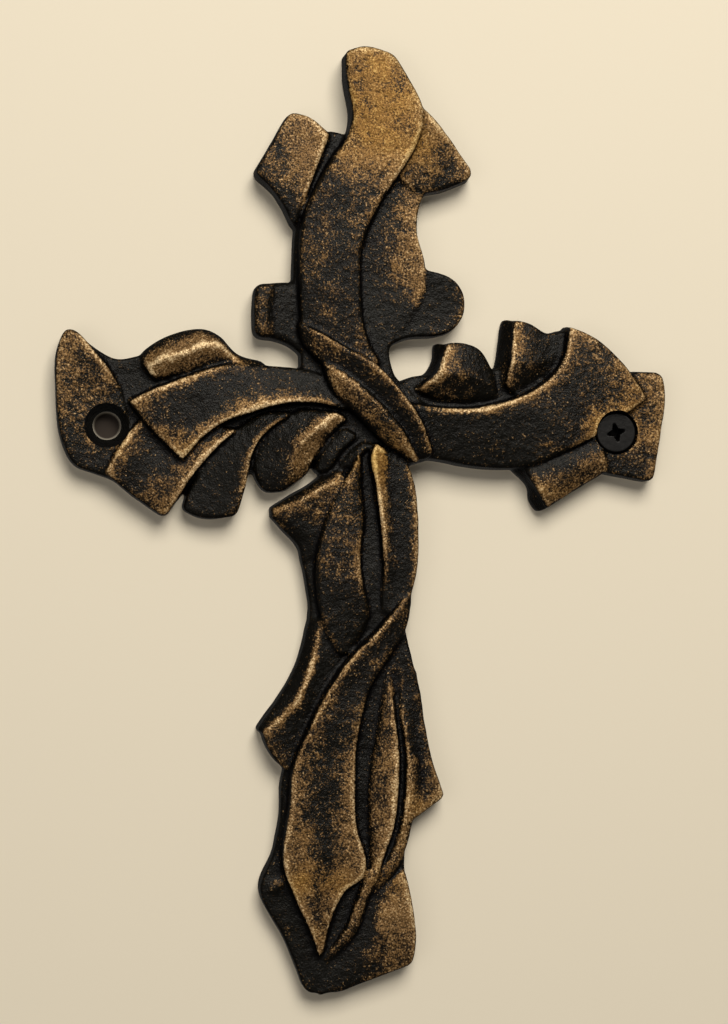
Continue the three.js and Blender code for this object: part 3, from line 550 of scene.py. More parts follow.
# %% A turned shape
def turned(profile, centre, sides=64):
    """A surface of revolution about the y axis: each profile entry is a radius and a height off the wall,
    and its ring is (radius cos a, radius sin a). The first and last radius are 0, so both poles close."""
    radius, height = np.array(profile, float).T
    angle = np.linspace(0, 2 * math.pi, sides, endpoint=False)
    x = centre[0] + radius[1:-1, None] * np.cos(angle)
    z = centre[1] + radius[1:-1, None] * np.sin(angle)
    y = -height[1:-1, None] * np.ones(sides)
    rings = np.stack([x, y, z], axis=-1).reshape(-1, 3)
    poles = [[centre[0], -height[0], centre[1]], [centre[0], -height[-1], centre[1]]]
    count = len(radius) - 2
    at = np.arange(count * sides).reshape(count, sides)
    across = np.roll(at, -1, axis=1)
    quads = np.stack([at[:-1], across[:-1], across[1:], at[1:]], axis=-1).reshape(-1, 4).tolist()
    first = np.stack([np.full(sides, count * sides), across[0], at[0]], axis=1).tolist()
    last = np.stack([np.full(sides, count * sides + 1), at[-1], across[-1]], axis=1).tolist()
    return np.vstack([rings, poles]) * MM, quads + first + last


disc_points, disc_faces = turned([(0, 0), (1, 0), (1, 1), (0, 1)], (0, 0))
print("a turned disc:", len(disc_points), "points,", len(disc_faces), "faces")

# %% Cut the back flat and sink the holes
HEAD_SLOPE = math.tan(math.radians(COUNTERSINK_ANGLE / 2))
BORE = SHANK_RADIUS + BORE_CLEARANCE
SINK = HEAD_RADIUS + HEAD_CLEARANCE
HEAD_EDGE = SCREW_SEAT - HEAD_RIM
SINK_FLOOR = HEAD_EDGE - (SINK - BORE) / HEAD_SLOPE
DRILL_TIP = -3
DRILL_TOP = 20
GRINDING_BOX = ((-90, 90), (0, 6), (-150, 110))
SHARP_EDGE = math.radians(50)

drill = [(0, DRILL_TIP), (BORE, DRILL_TIP), (BORE, SINK_FLOOR),
         (SINK, HEAD_EDGE), (SINK, DRILL_TOP), (0, DRILL_TOP)]
corners = np.stack(np.meshgrid(*GRINDING_BOX, indexing="ij"), axis=-1).reshape(-1, 3) * MM
box_faces = [(0, 1, 3, 2), (4, 6, 7, 5), (0, 4, 5, 1), (2, 3, 7, 6), (0, 2, 6, 4), (1, 5, 7, 3)]
cutters = [new_piece("grinding plane", corners, box_faces, smooth=False)]
for name, hole in (("left drill", LEFT_HOLE), ("right drill", RIGHT_HOLE)):
    cutters.append(new_piece(name, *turned(drill, hole), smooth=False))
for cutter in cutters:
    cut = casting.modifiers.new(cutter.name, "BOOLEAN")
    cut.operation = "DIFFERENCE"
    cut.solver = "MANIFOLD"
    cut.object = cutter
body = finished_mesh(casting)
for used in [casting, *cutters]:
    bpy.data.objects.remove(used)
cross = placed("painted_casting", body)
body.polygons.foreach_set("use_smooth", np.full(len(body.polygons), True))
body.set_sharp_from_angle(angle=SHARP_EDGE)
triangles = sum(len(p.vertices) - 2 for p in body.polygons)
print("casting:", len(body.vertices), "points,", triangles, "triangles")

# %% [markdown]
# ## Where the bronze was rubbed
# After the black coat dries, bronze paint is rubbed on with a nearly dry brush. It catches on ridges,
# skips the grooves, and the hand presses harder on some folds than on others. To follow the hand,
# every fold gets a little table of pressure in percent. Its rows go across, from the fold's first
# drawn line to its last, and a semicolon ends a row. Each row goes along, from start to end. 0 leaves
# it black and 100 covers it.

# %% Pressure of the brush on every fold
PERCENT = {
    "tall blade":
        "40 60 40 15 25 20 10; 75 88 65 22 32 30 15; 75 88 80 24 24 26 25; 70 88 85 38 24 22 42; "
        "60 75 80 42 25 20 45",
    "right wing": "100 90 65 70; 100 65 35 50; 75 35 20 50",
    "right valley": "5 0 0 0 0 0 0; 28 32 28 18 5 0 0; 38 48 58 50 12 0 0; 42 52 65 62 15 0 0",
    "right lobe": "0 0 0 5 15 50; 0 0 0 0 0 45; 0 0 0 0 10 45",
    "left wing": "45 70 70; 45 70 65; 40 55 60; 20 20 10",
    "left trough": "0 0; 0 0",
    "left saddle": "5 5 2; 0 0 0; 5 0 0",
    "left stub": "15 20 15; 30 40 35; 20 20 20",
    "upper strap":
        "34 58 48 55 60 66 66 50; 22 38 22 24 28 34 24 12; 15 35 18 14 14 14 8 5; 15 30 15 5 0 0 0 0; "
        "10 15 5 0 0 0 0 0",
    "lower strap": "45 55 42 35 45 50; 40 55 45 35 55 60; 35 55 50 38 60 60; 10 35 30 25 50 40",
    "crossing ground": "0 0; 0 0",
    "left ground": "10 5 5; 0 0 0",
    "sweep ground": "0 0; 0 0",
    "left plate": "52 48 42 22 10; 45 52 36 28 12; 40 45 42 28 12; 45 35 33 12 5; 80 80 10 0 0",
    "hump": "0 5 5 0; 50 60 75 0; 105 110 110 40; 90 60 25 5; 5 0 0 0",
    "long blade":
        "55 75 75 60 40 15 5 0; 40 25 10 20 25 25 5 0; 45 10 0 10 20 25 10 0; 60 30 10 30 30 35 20 5; "
        "75 80 85 95 95 85 60 15",
    "second blade": "65 70 75 30 0; 30 5 20 0 0; 30 25 0 0 0; 35 40 35 0 5; 50 65 85 90 60",
    "third blade": "0 0 0 0; 2 2 0 0; 5 5 2 0; 10 5 5 0; 30 65 80 40",
    "fourth blade": "0 0 0 0 0; 10 5 0 0 0; 15 35 60 90 70; 20 80 85 85 70; 10 50 55 20 10",
    "first tuck": "0 0; 0 0",
    "second tuck": "0 0; 0 0",
    "right ground": "0 0; 0 0",
    "broad blade":
        "10 60 95 100 70 60 70; 0 12 20 30 40 40 55; 0 0 3 10 18 28 48; 0 0 4 12 15 26 45; "
        "0 4 5 10 15 24 42; 0 3 5 12 20 25 48; 0 3 8 18 25 25 52; 0 0 6 12 24 38 52; 0 0 5 10 35 75 60",
    "right plate": "35 35 25 5; 45 48 45 10; 50 52 52 42",
    "under blade": "0 8 0; 35 20 20; 48 42 50; 42 30 45; 50 55 45",
    "under blade end": "0 0; 0 0; 30 30",
    "first tab": "65 15 8 0 0; 85 35 15 5 0; 85 35 15 8 0; 65 40 30 15 5; 35 25 15 8 0",
    "first tab end": "0 0; 0 0; 10 10; 60 50",
    "second tab": "60 25 20 8 0; 75 35 20 8 0; 75 30 10 4 0; 65 25 10 8 0; 40 15 8 0 0",
    "second tab end": "0 0; 0 0; 10 10; 60 50",
    "upper leg ground": "0 0; 0 0; 5 5",
    "hip wing": "0 0 0 0; 55 50 60 60; 20 5 2 0; 50 35 10 0",
    "spear leaf":
        "60 50 25 20 20 15 35 20; 60 40 30 35 18 8 10 5; 20 25 30 40 30 8 10 5; 5 10 30 45 60 35 5 5",
    "bright strip":
        "120 120 95 80 60 35 10; 100 90 50 35 25 10 0; 10 10 10 8 5 0 0; 5 5 5 5 0 0 0; "
        "60 70 70 70 70 60 40",
    "great leaf":
        "45 65 60 55 50 58 68 68 50; 20 25 20 25 38 48 52 56 55; 20 18 12 12 18 12 18 30 42; "
        "15 18 18 28 48 58 60 55 48; 30 20 35 52 66 76 72 66 40",
    "thigh wing":
        "0 0 0 0; 0 0 0 20; 0 0 0 30; 5 15 15 35; 55 85 85 60; 5 10 12 35; 0 0 5 30; 0 0 2 35; 0 0 0 40",
    "lower leg ground": "0 0 0; 0 0 0; 0 5 5",
    "heel nub": "30 35 30; 0 0 0",
    "knee ground": "0 0 0; 20 20 15",
    "middle blade": "10 25 32 38 38; 30 42 48 55 52; 35 65 75 75 50",
    "outer blade": "20 50 65 60 40; 10 15 20 25 30; 5 10 10 20 40; 20 25 30 35 50; 30 30 40 50 60",
    "outer ribbon": "50 50 40; 40 40 30",
    "narrow strap": "45 45 35; 40 40 30",
    "foot plate": "0 0 0 0; 5 5 5 0; 30 55 35 10; 60 70 50 20; 70 65 60 40",
}
PRESSURE = {name: [[float(number) / 100 for number in row.split()] for row in text.split(";")]
            for name, text in PERCENT.items()}
print("folds with pressure:", len(PRESSURE), "of", len(FOLDS))

# %% [markdown]
# ## A map of the casting
# The tables speak of folds, but the melted skin no longer knows where one fold ends. A plan of small
# cells remembers it: every fold is sprinkled onto the plan as dense points, and the highest one in a
# cell stays. Each point of the skin then looks up the fold above its cell, and how far along and
# across that fold it lies.

# %% The plan of folds
PLAN_CELL = 0.25
PLAN_CORNER = np.array([-75, -130])
PLAN_SHAPE = (600, 860)


def denser(grid, times=5):
    """Values between the grid's points, in straight lines along both of its directions."""
    for axis in (0, 1):
        grid = np.moveaxis(grid, axis, 0)
        place = np.linspace(0, len(grid) - 1, (len(grid) - 1) * times + 1)
        low = np.minimum(place.astype(int), len(grid) - 2)
        part = (place - low).reshape((-1,) + (1,) * (grid.ndim - 1))
        grid = np.moveaxis(grid[low] * (1 - part) + grid[low + 1] * part, 0, axis)
    return grid


def pressure_at(table, u, v):
    """Pressure between the table's values: straight lines along each row, then across the rows."""
    rows = np.stack([np.interp(u, np.linspace(0, 1, len(row)), row) for row in table])
    place = v * (len(table) - 1)
    low = np.minimum(place.astype(int), len(table) - 2)
    part = place - low
    picked = np.take_along_axis(rows, np.stack([low, low + 1]), axis=0)
    return picked[0] * (1 - part) + picked[1] * part


sprinkled = []
for name, (front, u, v) in fronts.items():
    dense = denser(np.dstack([front, u, v]))
    x, height, z, u, v = dense.reshape(-1, 5).T
    sprinkled.append(np.stack([x, z, height, pressure_at(PRESSURE[name], u, v)], axis=1))
sprinkled = np.vstack(sprinkled)
sprinkled = sprinkled[np.argsort(sprinkled[:, 2], kind="stable")]
cell = np.round((sprinkled[:, :2] - PLAN_CORNER) / PLAN_CELL).astype(int)
plan = np.zeros(PLAN_SHAPE)
plan[cell[:, 0], cell[:, 1]] = sprinkled[:, 3]
print("plan cells covered:", int((plan > 0).sum()), "from", len(sprinkled), "points")

# %% [markdown]
# ## Ridges and hollows
# A dry brush touches what stands out. How far a point stands out is found by comparing the skin with
# a smoother copy of itself: on a ridge the copy has sunk below the skin, in a groove it has risen.
# A lightly smoothed copy finds sharp rims, a strongly smoothed one finds whole swelling folds. Where
# the paint lies thick the skin is also torn up a little, so its surface is rougher there.

# %% Pressure and ridges on the skin
PLAN_RUBS = 2
RIM_RUBS = 10
SWELL_RUBS = 90
THIN_TEAR = 0.02
THICK_TEAR = 0.1
TEAR_CELL = 1.25
TEAR_SEED = 11
FRONT_FACING = (0.3, 0.85)


def smooth_step(low, high, value):
    """0 below low, 1 above high, and 3t² - 2t³ between."""
    t = np.clip((value - low) / (high - low), 0, 1)
    return t * t * (3 - 2 * t)


co, edges = mesh_arrays(body)
normals = mesh_normals(body)
where = np.round((co[:, [0, 2]] - PLAN_CORNER) / PLAN_CELL).astype(int)
pressure = rubbed(plan[where[:, 0], where[:, 1]][:, None], edges, PLAN_RUBS)[:, 0]
torn = (THIN_TEAR + THICK_TEAR * np.clip(pressure, 0, 1)) * waviness(co, TEAR_CELL, TEAR_SEED)
torn *= smooth_step(0, -0.6, normals[:, 1])
co += normals * torn[:, None]
body.vertices.foreach_set("co", (co * MM).ravel())
body.update()
normals = mesh_normals(body)
sharp = np.sum(normals * (co - rubbed(co, edges, RIM_RUBS)), axis=1)
swelling = np.sum(normals * (co - rubbed(co, edges, SWELL_RUBS)), axis=1)
facing = smooth_step(*FRONT_FACING, -normals[:, 1])
print("torn by at most", round(np.abs(torn).max(), 3), "mm")

# %% [markdown]
# ## Single strokes
# A few touches don't follow the folds: a dab on a corner, a bare spot, a place where the bronze was
# mixed with more ochre. Each is a soft round touch, told by its place across, its place up, its reach,
# and how much it adds.

# %% Extra strokes and ochre places
STROKES = [
    (5, 70, 2.6, -0.4), (6.5, 63, 2, -0.35), (-11, 36, 3, 0.15), (49, 1.5, 3, 0.4), (-51, -6, 2.5, 0.2),
    (-57.8, -5.8, 1, 0.5), (-11, -97, 3, 0.3), (-4, -97, 3.5, 0.3), (13, -81, 2.5, 0.35),
    (9, -104, 4, 0.15), (4, -118.5, 1.8, 0.35), (9, -116, 1.8, 0.3), (-3, -121, 1.5, 0.25),
]
OCHRE_PLACES = [
    (-1, 72, 8, 1), (2, 62, 8, 1), (12, 58, 5, 0.5), (-11, -97, 3, 0.9), (-4, -97, 3.5, 0.8),
    (8, -97, 3.5, 0.7), (13, -81, 2.5, 0.5), (2.5, -10, 5, 1), (-52, -6, 3, 0.5), (49, 1.5, 4, 0.6),
    (57, 4, 6, 0.5), (-38, -6, 4, 0.35), (5, -5, 5, 0.4),
]


def touches(places):
    """Sum of round soft touches: each is its amount times a bell curve of the distance over its reach."""
    total = np.zeros(len(co))
    for across, up, reach, amount in places:
        distance = np.hypot(co[:, 0] - across, co[:, 2] - up)
        total += amount * np.exp(-((distance / reach) ** 2))
    return total


pressure += touches(STROKES)
ochre = np.clip(touches(OCHRE_PLACES), 0, 1)
print("strokes:", len(STROKES), "ochre places:", len(OCHRE_PLACES))

# %% How much bronze each point takes
LIGHT_HAND = 0.6
HEAVY_GAIN = 0.55
FACE_SHARE = 0.85
RIDGE_GAIN = 0.35
RIM_HEIGHT = 0.12
RIM_TERM = 0.04
SWELL_HEIGHT = 0.6
SWELL_TERM = 0.05
BARE_LOSS = 0.12
SIDE_MOST = 0.1
NO_BRONZE = -1
SINK_INSET = 0.1

pressure *= LIGHT_HAND + HEAVY_GAIN * smooth_step(0, 0.5, pressure)
ridge = smooth_step(0.03, RIM_HEIGHT, sharp) * smooth_step(0.2, 1, pressure)
bare = 1 - smooth_step(0, 0.2, pressure)
rub = pressure * facing * (FACE_SHARE + RIDGE_GAIN * ridge) + RIM_TERM * np.clip(sharp / RIM_HEIGHT, -3, 0.5)
rub += SWELL_TERM * np.clip(swelling / SWELL_HEIGHT, -1.2, 1) - BARE_LOSS * bare
for x, z in (LEFT_HOLE, RIGHT_HOLE):
    rub[np.hypot(co[:, 0] - x, co[:, 2] - z) < SINK - SINK_INSET] = NO_BRONZE
rub = np.where(facing > 0.02, rub, np.minimum(rub, SIDE_MOST))
rub[normals[:, 1] > 0.5] = NO_BRONZE
# the hollow mark carries painted shade: it darkens the black paint in grooves and hollows
marks = {"rub": rub, "ridge": ridge, "ochre": ochre, "hollow": smooth_step(0, -RIM_HEIGHT, sharp)}
for name, values in marks.items():
    mark = body.attributes.new(name, "FLOAT", "POINT")
    mark.data.foreach_set("value", values.astype(np.float32))
    print(name, "5, 50, 95 %:", np.round(np.percentile(values, [5, 50, 95]), 3))

# %% [markdown]
# ## Sand grain
# Iron poured in sand keeps the print of the grains: tiny bumps of less than half a millimetre, and
# softer dimples three times larger. Both the casting's paint and the screw's finish need it at their
# own size, so it is a node group: it puts out the two noises as values, and one height for a Bump node.

# %% Short ways to build with nodes
def fill(node, inputs):
    """Puts a value or another node's output into each of a node's sockets, by name or number."""
    for key, value in inputs.items():
        if isinstance(value, bpy.types.NodeSocket):
            node.id_data.links.new(value, node.inputs[key])
        else:
            node.inputs[key].default_value = value


def node_maker(tree):
    """A function that adds a node to the tree: its kind, what goes into its sockets, its settings."""
    def add(kind, inputs=None, **settings):
        added = tree.nodes.new(kind)
        for key, value in settings.items():
            setattr(added, key, value)
        fill(added, inputs or {})
        return added
    return add


def socket_maker(group):
    """A function that adds a named input or output to a node group."""
    def add(name, kind, in_out, default=None):
        socket = group.interface.new_socket(name=name, in_out=in_out, socket_type=kind)
        if default is not None:
            socket.default_value = default
    return add


def mixed(node, share, low, high):
    """The colour between low and high at this share."""
    return node("ShaderNodeMix", {0: share, 6: low, 7: high}, data_type="RGBA").outputs[2]


def worked_out(node, operation, *values):
    """The result of a Math node with these values."""
    return node("ShaderNodeMath", dict(enumerate(values)), operation=operation).outputs[0]


def noise(node, place, scale, detail, roughness):
    """Noise from 0 to 1 in all three directions."""
    wanted = {"Vector": place, "Scale": scale, "Detail": detail, "Roughness": roughness}
    return node("ShaderNodeTexNoise", wanted, noise_dimensions="3D").outputs[0]


print("node helpers:", ", ".join(helper.__name__ for helper in (fill, mixed, worked_out, noise)))

# %% A node group for the grain
COARSE_SHARE = 0.3
COARSE_HEIGHT = 1.6
grain = bpy.data.node_groups.new("sand grain", "ShaderNodeTree")
add_socket = socket_maker(grain)
add_socket("Position", "NodeSocketVector", "INPUT")
add_socket("Grains per metre", "NodeSocketFloat", "INPUT", 1800)
for name in ("Fine", "Coarse", "Height"):
    add_socket(name, "NodeSocketFloat", "OUTPUT")
node = node_maker(grain)
given = node("NodeGroupInput").outputs
fine = noise(node, given["Position"], given["Grains per metre"], 3, 0.6)
coarse_scale = worked_out(node, "MULTIPLY", given["Grains per metre"], COARSE_SHARE)
coarse = noise(node, given["Position"], coarse_scale, 2, 0.5)
height = worked_out(node, "MULTIPLY_ADD", coarse, COARSE_HEIGHT, fine)
node("NodeGroupOutput", {"Fine": fine, "Coarse": coarse, "Height": height})
print("node group made:", grain.name)

# %% [markdown]
# ## Black paint with rubbed bronze
# The paint is a warm satin black. Over it lies bronze that broke up into grains as the brush dried.
# The mask adds the rub from the mesh to four sizes of noise and turns the sum into a soft edge: more
# rub means more grains covered. The bronze runs from brown to pale gold, lightest where the brush
# burnished the ridges, and turns to ochre in places. It is one third metal, because real bronze paint
# is flakes in varnish. The brush never reached the back: its coat is plain, dull and dusty.

# %% Tones of the bronze
BROWN_TONES = ((0.05, 0.028, 0.011), (0.21, 0.118, 0.045), (0.76, 0.57, 0.33))
OCHRE_TONES = ((0.095, 0.046, 0.012), (0.23, 0.118, 0.028), (0.56, 0.37, 0.13))


def centred(node, source, weight, onto):
    """weight times (noise - 0.5), added onto a value."""
    return worked_out(node, "MULTIPLY_ADD", worked_out(node, "SUBTRACT", source, 0.5), weight, onto)


def spread_out(node, value, low, high):
    """0 below low, 1 above high, a smooth step between."""
    return node("ShaderNodeMapRange", {"Value": value, "From Min": low, "From Max": high},
                interpolation_type="SMOOTHSTEP").outputs[0]


def bronze_ramp(node, value, tones):
    """The bronze colour between a dark, a middle and a light tone."""
    dark, middle, light = tones
    ramp_node = node("ShaderNodeValToRGB", {0: value})
    ramp = ramp_node.color_ramp
    ramp.elements[0].color = (*dark, 1)
    ramp.elements[1].color = (*light, 1)
    ramp.elements.new(0.5).color = (*middle, 1)
    return ramp_node.outputs[0]


print("bronze runs from", BROWN_TONES[0], "to", BROWN_TONES[2], "and ochre to", OCHRE_TONES[2])

# %% The rubbed bronze mask
PATCHES_PER_METRE = 170
STREAKS_PER_METRE = 420
GRAIN_WEIGHTS = {"fine": 1.7, "coarse": 0.9, "streaks": 0.7, "patches": 0.7}
# weight of the bronze flecks and painted glints on the peaks of the fine grain
FLECK_AND_GLINT_WEIGHT = 0.35
BASE_TONE = 0.12
RUB_TONE = 0.3
RIDGE_TONE = 0.3
PATCH_TONE = 0.5
FINE_TONE = 2.2
OCHRE_SPREAD = 1.4

rubbing = bpy.data.node_groups.new("rubbed bronze", "ShaderNodeTree")
add_socket = socket_maker(rubbing)
add_socket("Position", "NodeSocketVector", "INPUT")
for name, default in (("Rub", 0), ("Ridge", 0), ("Ochre", 0), ("Fine", 0.5), ("Coarse", 0.5)):
    add_socket(name, "NodeSocketFloat", "INPUT", default)
add_socket("Mask", "NodeSocketFloat", "OUTPUT")
add_socket("Bronze", "NodeSocketColor", "OUTPUT")
node = node_maker(rubbing)
given = node("NodeGroupInput").outputs
patches = noise(node, given["Position"], PATCHES_PER_METRE, 3, 0.6)
streaks = noise(node, given["Position"], STREAKS_PER_METRE, 2, 0.55)
noises = {"fine": given["Fine"], "coarse": given["Coarse"], "streaks": streaks, "patches": patches}
total = given["Rub"]
for name, weight in GRAIN_WEIGHTS.items():
    total = centred(node, noises[name], weight, total)
# bronze flecks and painted glints: peaks of the fine grain take extra bronze, partly real dry-brush flecks,
# partly painted sparkle
flecks_and_glints = spread_out(node, given["Fine"], 0.62, 0.72)
covered = spread_out(node, worked_out(node, "MULTIPLY_ADD", flecks_and_glints, FLECK_AND_GLINT_WEIGHT, total), 0.2, 0.75)
tone = worked_out(node, "MULTIPLY_ADD", given["Rub"], RUB_TONE, BASE_TONE)
tone = centred(node, patches, PATCH_TONE, tone)
tone = worked_out(node, "MULTIPLY_ADD", given["Ridge"], RIDGE_TONE, tone)
tone = centred(node, given["Fine"], FINE_TONE, tone)
warmer = centred(node, patches, OCHRE_SPREAD, given["Ochre"])
warm = node("ShaderNodeMath", {0: warmer, 1: 0}, operation="ADD", use_clamp=True).outputs[0]
bronze = mixed(node, warm, bronze_ramp(node, tone, BROWN_TONES), bronze_ramp(node, tone, OCHRE_TONES))
node("NodeGroupOutput", {"Mask": covered, "Bronze": bronze})
print("node group made:", rubbing.name)


# %% Helpers for materials
def new_material(name):
    """An empty node material with its Principled BSDF wired to the output."""
    material = bpy.data.materials.new(name)
    material.use_nodes = True
    material.node_tree.nodes.clear()
    node = node_maker(material.node_tree)
    shader = node("ShaderNodeBsdfPrincipled")
    node("ShaderNodeOutputMaterial", {"Surface": shader.outputs[0]})
    return material, node, shader


def between(node, value, from_low, from_high, to_low=0, to_high=1):
    """The value's place between two numbers, carried over to between two others."""
    return node("ShaderNodeMapRange", {"Value": value, "From Min": from_low, "From Max": from_high,
                                       "To Min": to_low, "To Max": to_high}).outputs[0]


def sand_grain(node, place, grains):
    """The outputs of the sand grain group at this many grains per metre."""
    return node("ShaderNodeGroup", {"Position": place, "Grains per metre": grains}, node_tree=grain).outputs


def bumps(node, height, strength, distance):
    """Normals that follow this height."""
    wanted = {"Height": height, "Strength": strength, "Distance": distance}
    return node("ShaderNodeBump", wanted).outputs[0]


print("materials are built from the groups", grain.name, "and", rubbing.name)

# %% Paint of the casting
PAINT_GRAINS = 2600
BLACK_TONES = ((0.0016, 0.0014, 0.0009, 1), (0.0038, 0.0033, 0.0022, 1))
# painted shade: an even darker black for the hollows and grooves
HOLLOW_SHADE_TONE = (0.001, 0.0008, 0.0009, 1)
BACK_TONES = ((0.016, 0.0145, 0.012, 1), (0.036, 0.032, 0.027, 1))
BACK_DEPTHS = (-0.0001, -0.0003)
BRONZE_METAL = 0.35

paint, node, shader = new_material("black paint with rubbed bronze")
place = node("ShaderNodeTexCoord").outputs["Object"]
read = {name: node("ShaderNodeAttribute", attribute_name=name).outputs["Fac"] for name in marks}
front = between(node, node("ShaderNodeSeparateXYZ", {0: place}).outputs["Y"], *BACK_DEPTHS)
sand = sand_grain(node, place, PAINT_GRAINS)
brush = node("ShaderNodeGroup", {
    "Position": place, "Rub": read["rub"], "Ridge": read["ridge"], "Ochre": read["ochre"],
    "Fine": sand["Fine"], "Coarse": sand["Coarse"]}, node_tree=rubbing).outputs
worn = mixed(node, sand["Coarse"], *BLACK_TONES)
# painted shade: the black paint turns darker in the hollows of the skin
shaded_hollows = mixed(node, read["hollow"], worn, HOLLOW_SHADE_TONE)
coat = mixed(node, brush["Mask"], shaded_hollows, brush["Bronze"])
plain = mixed(node, sand["Coarse"], *BACK_TONES)
fill(shader, {
    "Base Color": mixed(node, front, plain, coat),
    "Metallic": worked_out(node, "MULTIPLY", brush["Mask"], BRONZE_METAL),
    "Roughness": between(node, brush["Mask"], 0, 1, 0.34, 0.42),
    "Normal": bumps(node, sand["Height"], 0.9, 0.0002),
    "Specular IOR Level": 0.13})
body.materials.clear()
body.materials.append(paint)
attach(cross, "root")
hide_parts("cross_casting")
print("paint on", cross.name)

# %% [markdown]
# ## The screw
# A countersunk wood screw with a cross recess. Its head is a surface of radius and angle: flat on top,
# let down in the recess, closed by a cone below. The shank is a cylinder whose radius rises and falls
# along a helix, and tapers to the point. It is one closed sheet from the middle of the head to the tip.

# %% Profile rings of the screw
SIDES = 96
TOP_ROUNDING = 0.25
HEAD_HEIGHT = (HEAD_RADIUS - SHANK_RADIUS) / HEAD_SLOPE
SHANK_TOP = HEAD_EDGE - HEAD_HEIGHT
SCREW_TIP = SCREW_SEAT - SCREW_LENGTH
POINT = 5
POINT_BLUNTNESS = 0.8

turn = np.linspace(0, math.pi / 2, 6)[1:]
flat_radius = np.concatenate([[0.06], np.linspace(0.15, HEAD_RADIUS - TOP_ROUNDING, 39)])
top_radius = np.concatenate([flat_radius, HEAD_RADIUS - TOP_ROUNDING + TOP_ROUNDING * np.sin(turn)])
rounding = TOP_ROUNDING - TOP_ROUNDING * np.cos(turn)
top_height = SCREW_SEAT - np.concatenate([np.zeros(len(flat_radius)), rounding])
side_height = np.concatenate([[HEAD_EDGE], np.linspace(HEAD_EDGE - 0.15, SHANK_TOP + 0.1, 8)])
side_radius = np.concatenate([[HEAD_RADIUS], HEAD_RADIUS - (HEAD_EDGE - side_height[1:]) * HEAD_SLOPE])
shank_height = np.linspace(SHANK_TOP, SCREW_TIP, 150)
taper = np.clip((shank_height - SCREW_TIP) / POINT, 0, 1)
shank_radius = SHANK_RADIUS * np.maximum(taper, 0.02) ** POINT_BLUNTNESS
print("screw rings:", len(top_radius), "top,", len(side_radius), "side,", len(shank_radius), "shank")

# %% Recess and thread
RECESS_SPAN = 4.2
RECESS_WIDTH = 1.1
RECESS_DEPTH = 2.3
SCREW_TURN = math.radians(-15)
PITCH = 1.9
THREAD = 0.45
CORE_DROP = 0.35
RUN_OUT = 6


def recess_drop(x, z):
    """Depth of the cross recess: two slots at right angles with slanting walls and sloping ends. It is
    the larger of the two slots' depths, each the full depth times the smooth steps of the distance
    inside its width and inside its span."""
    def slot(along, across):
        span = RECESS_SPAN / 2 - np.abs(along)
        width = RECESS_WIDTH * (0.25 + 0.6 * span / RECESS_SPAN * 2) - np.abs(across)
        return RECESS_DEPTH * smooth_step(0, 0.3, width) * smooth_step(-0.05, 1.3, span)
    return np.maximum(slot(x, z), slot(z, x))


radius = np.concatenate([top_radius, side_radius, shank_radius])[:, None] * np.ones(SIDES)
height = np.concatenate([top_height, side_height, shank_height])[:, None] * np.ones(SIDES)
rings = len(radius)
angle = np.linspace(0, 2 * math.pi, SIDES, endpoint=False)
on_shank = np.arange(rings)[:, None] >= len(top_radius) + len(side_radius)
threaded = on_shank * smooth_step(SHANK_TOP, SHANK_TOP - RUN_OUT, height)
helix = (height / PITCH + angle[None] / (2 * math.pi)) % 1
crest = THREAD * smooth_step(0.32, 0.02, np.abs(helix - 0.5)) * np.minimum(radius, 1)
radius = radius + threaded * (crest - CORE_DROP * np.minimum(radius / SHANK_RADIUS, 1))
x = radius * np.cos(angle)
z = radius * np.sin(angle)
drop = (np.arange(rings)[:, None] < len(top_radius)) * recess_drop(x, z)
across = x * math.cos(SCREW_TURN) + z * math.sin(SCREW_TURN)
up = z * math.cos(SCREW_TURN) - x * math.sin(SCREW_TURN)
screw_rings = np.stack([across + RIGHT_HOLE[0], drop - height, up + RIGHT_HOLE[1]], axis=-1)
print("screw rings:", rings, "of", SIDES, "points")

# %% Close the screw and paint it
STEEL_GRAINS = 3200
STEEL_TONES = ((0.0025, 0.0022, 0.0022, 1), (0.006, 0.0055, 0.0055, 1))
# painted shade: a near-black for the deep cross recess
RECESS_SHADE_TONE = (0.0008, 0.0007, 0.0007, 1)

at = np.arange(rings * SIDES).reshape(rings, SIDES)
beside = np.roll(at, -1, axis=1)
quads = np.stack([at[:-1], at[1:], beside[1:], beside[:-1]], axis=-1).reshape(-1, 4).tolist()
poles = [[RIGHT_HOLE[0], RECESS_DEPTH - SCREW_SEAT, RIGHT_HOLE[1]],
         [RIGHT_HOLE[0], -SCREW_TIP, RIGHT_HOLE[1]]]
fan = np.stack([np.full(SIDES, rings * SIDES), at[0], beside[0]], axis=1).tolist()
tip = np.stack([np.full(SIDES, rings * SIDES + 1), beside[-1], at[-1]], axis=1).tolist()
screw = new_piece("countersunk_screw", np.vstack([screw_rings.reshape(-1, 3), poles]) * MM, quads + fan + tip)
screw.data.set_sharp_from_angle(angle=math.radians(40))
# the recess mark is painted shade: deep in the slots the colour turns near-black and the sheen fades
shade = np.append(smooth_step(0.05, 0.5, drop / RECESS_DEPTH), [1, 0])
screw.data.attributes.new("recess", "FLOAT", "POINT").data.foreach_set("value", shade.astype(np.float32))
black_steel, node, shader = new_material("blackened steel")
sand = sand_grain(node, node("ShaderNodeTexCoord").outputs["Object"], STEEL_GRAINS)
recess = node("ShaderNodeAttribute", attribute_name="recess").outputs["Fac"]
fill(shader, {
    "Base Color": mixed(node, recess, mixed(node, sand["Coarse"], *STEEL_TONES), RECESS_SHADE_TONE),
    "Metallic": 0.1,
    "Roughness": between(node, sand["Coarse"], 0, 1, 0.34, 0.5),
    "Specular IOR Level": between(node, recess, 0, 1, 0.2, 0.02),
    "Normal": bumps(node, sand["Height"], 0.25, 0.0001)})
screw.data.materials.append(black_steel)
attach(screw, "root")
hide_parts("screw")
print("screw:", len(screw.data.vertices), "points")
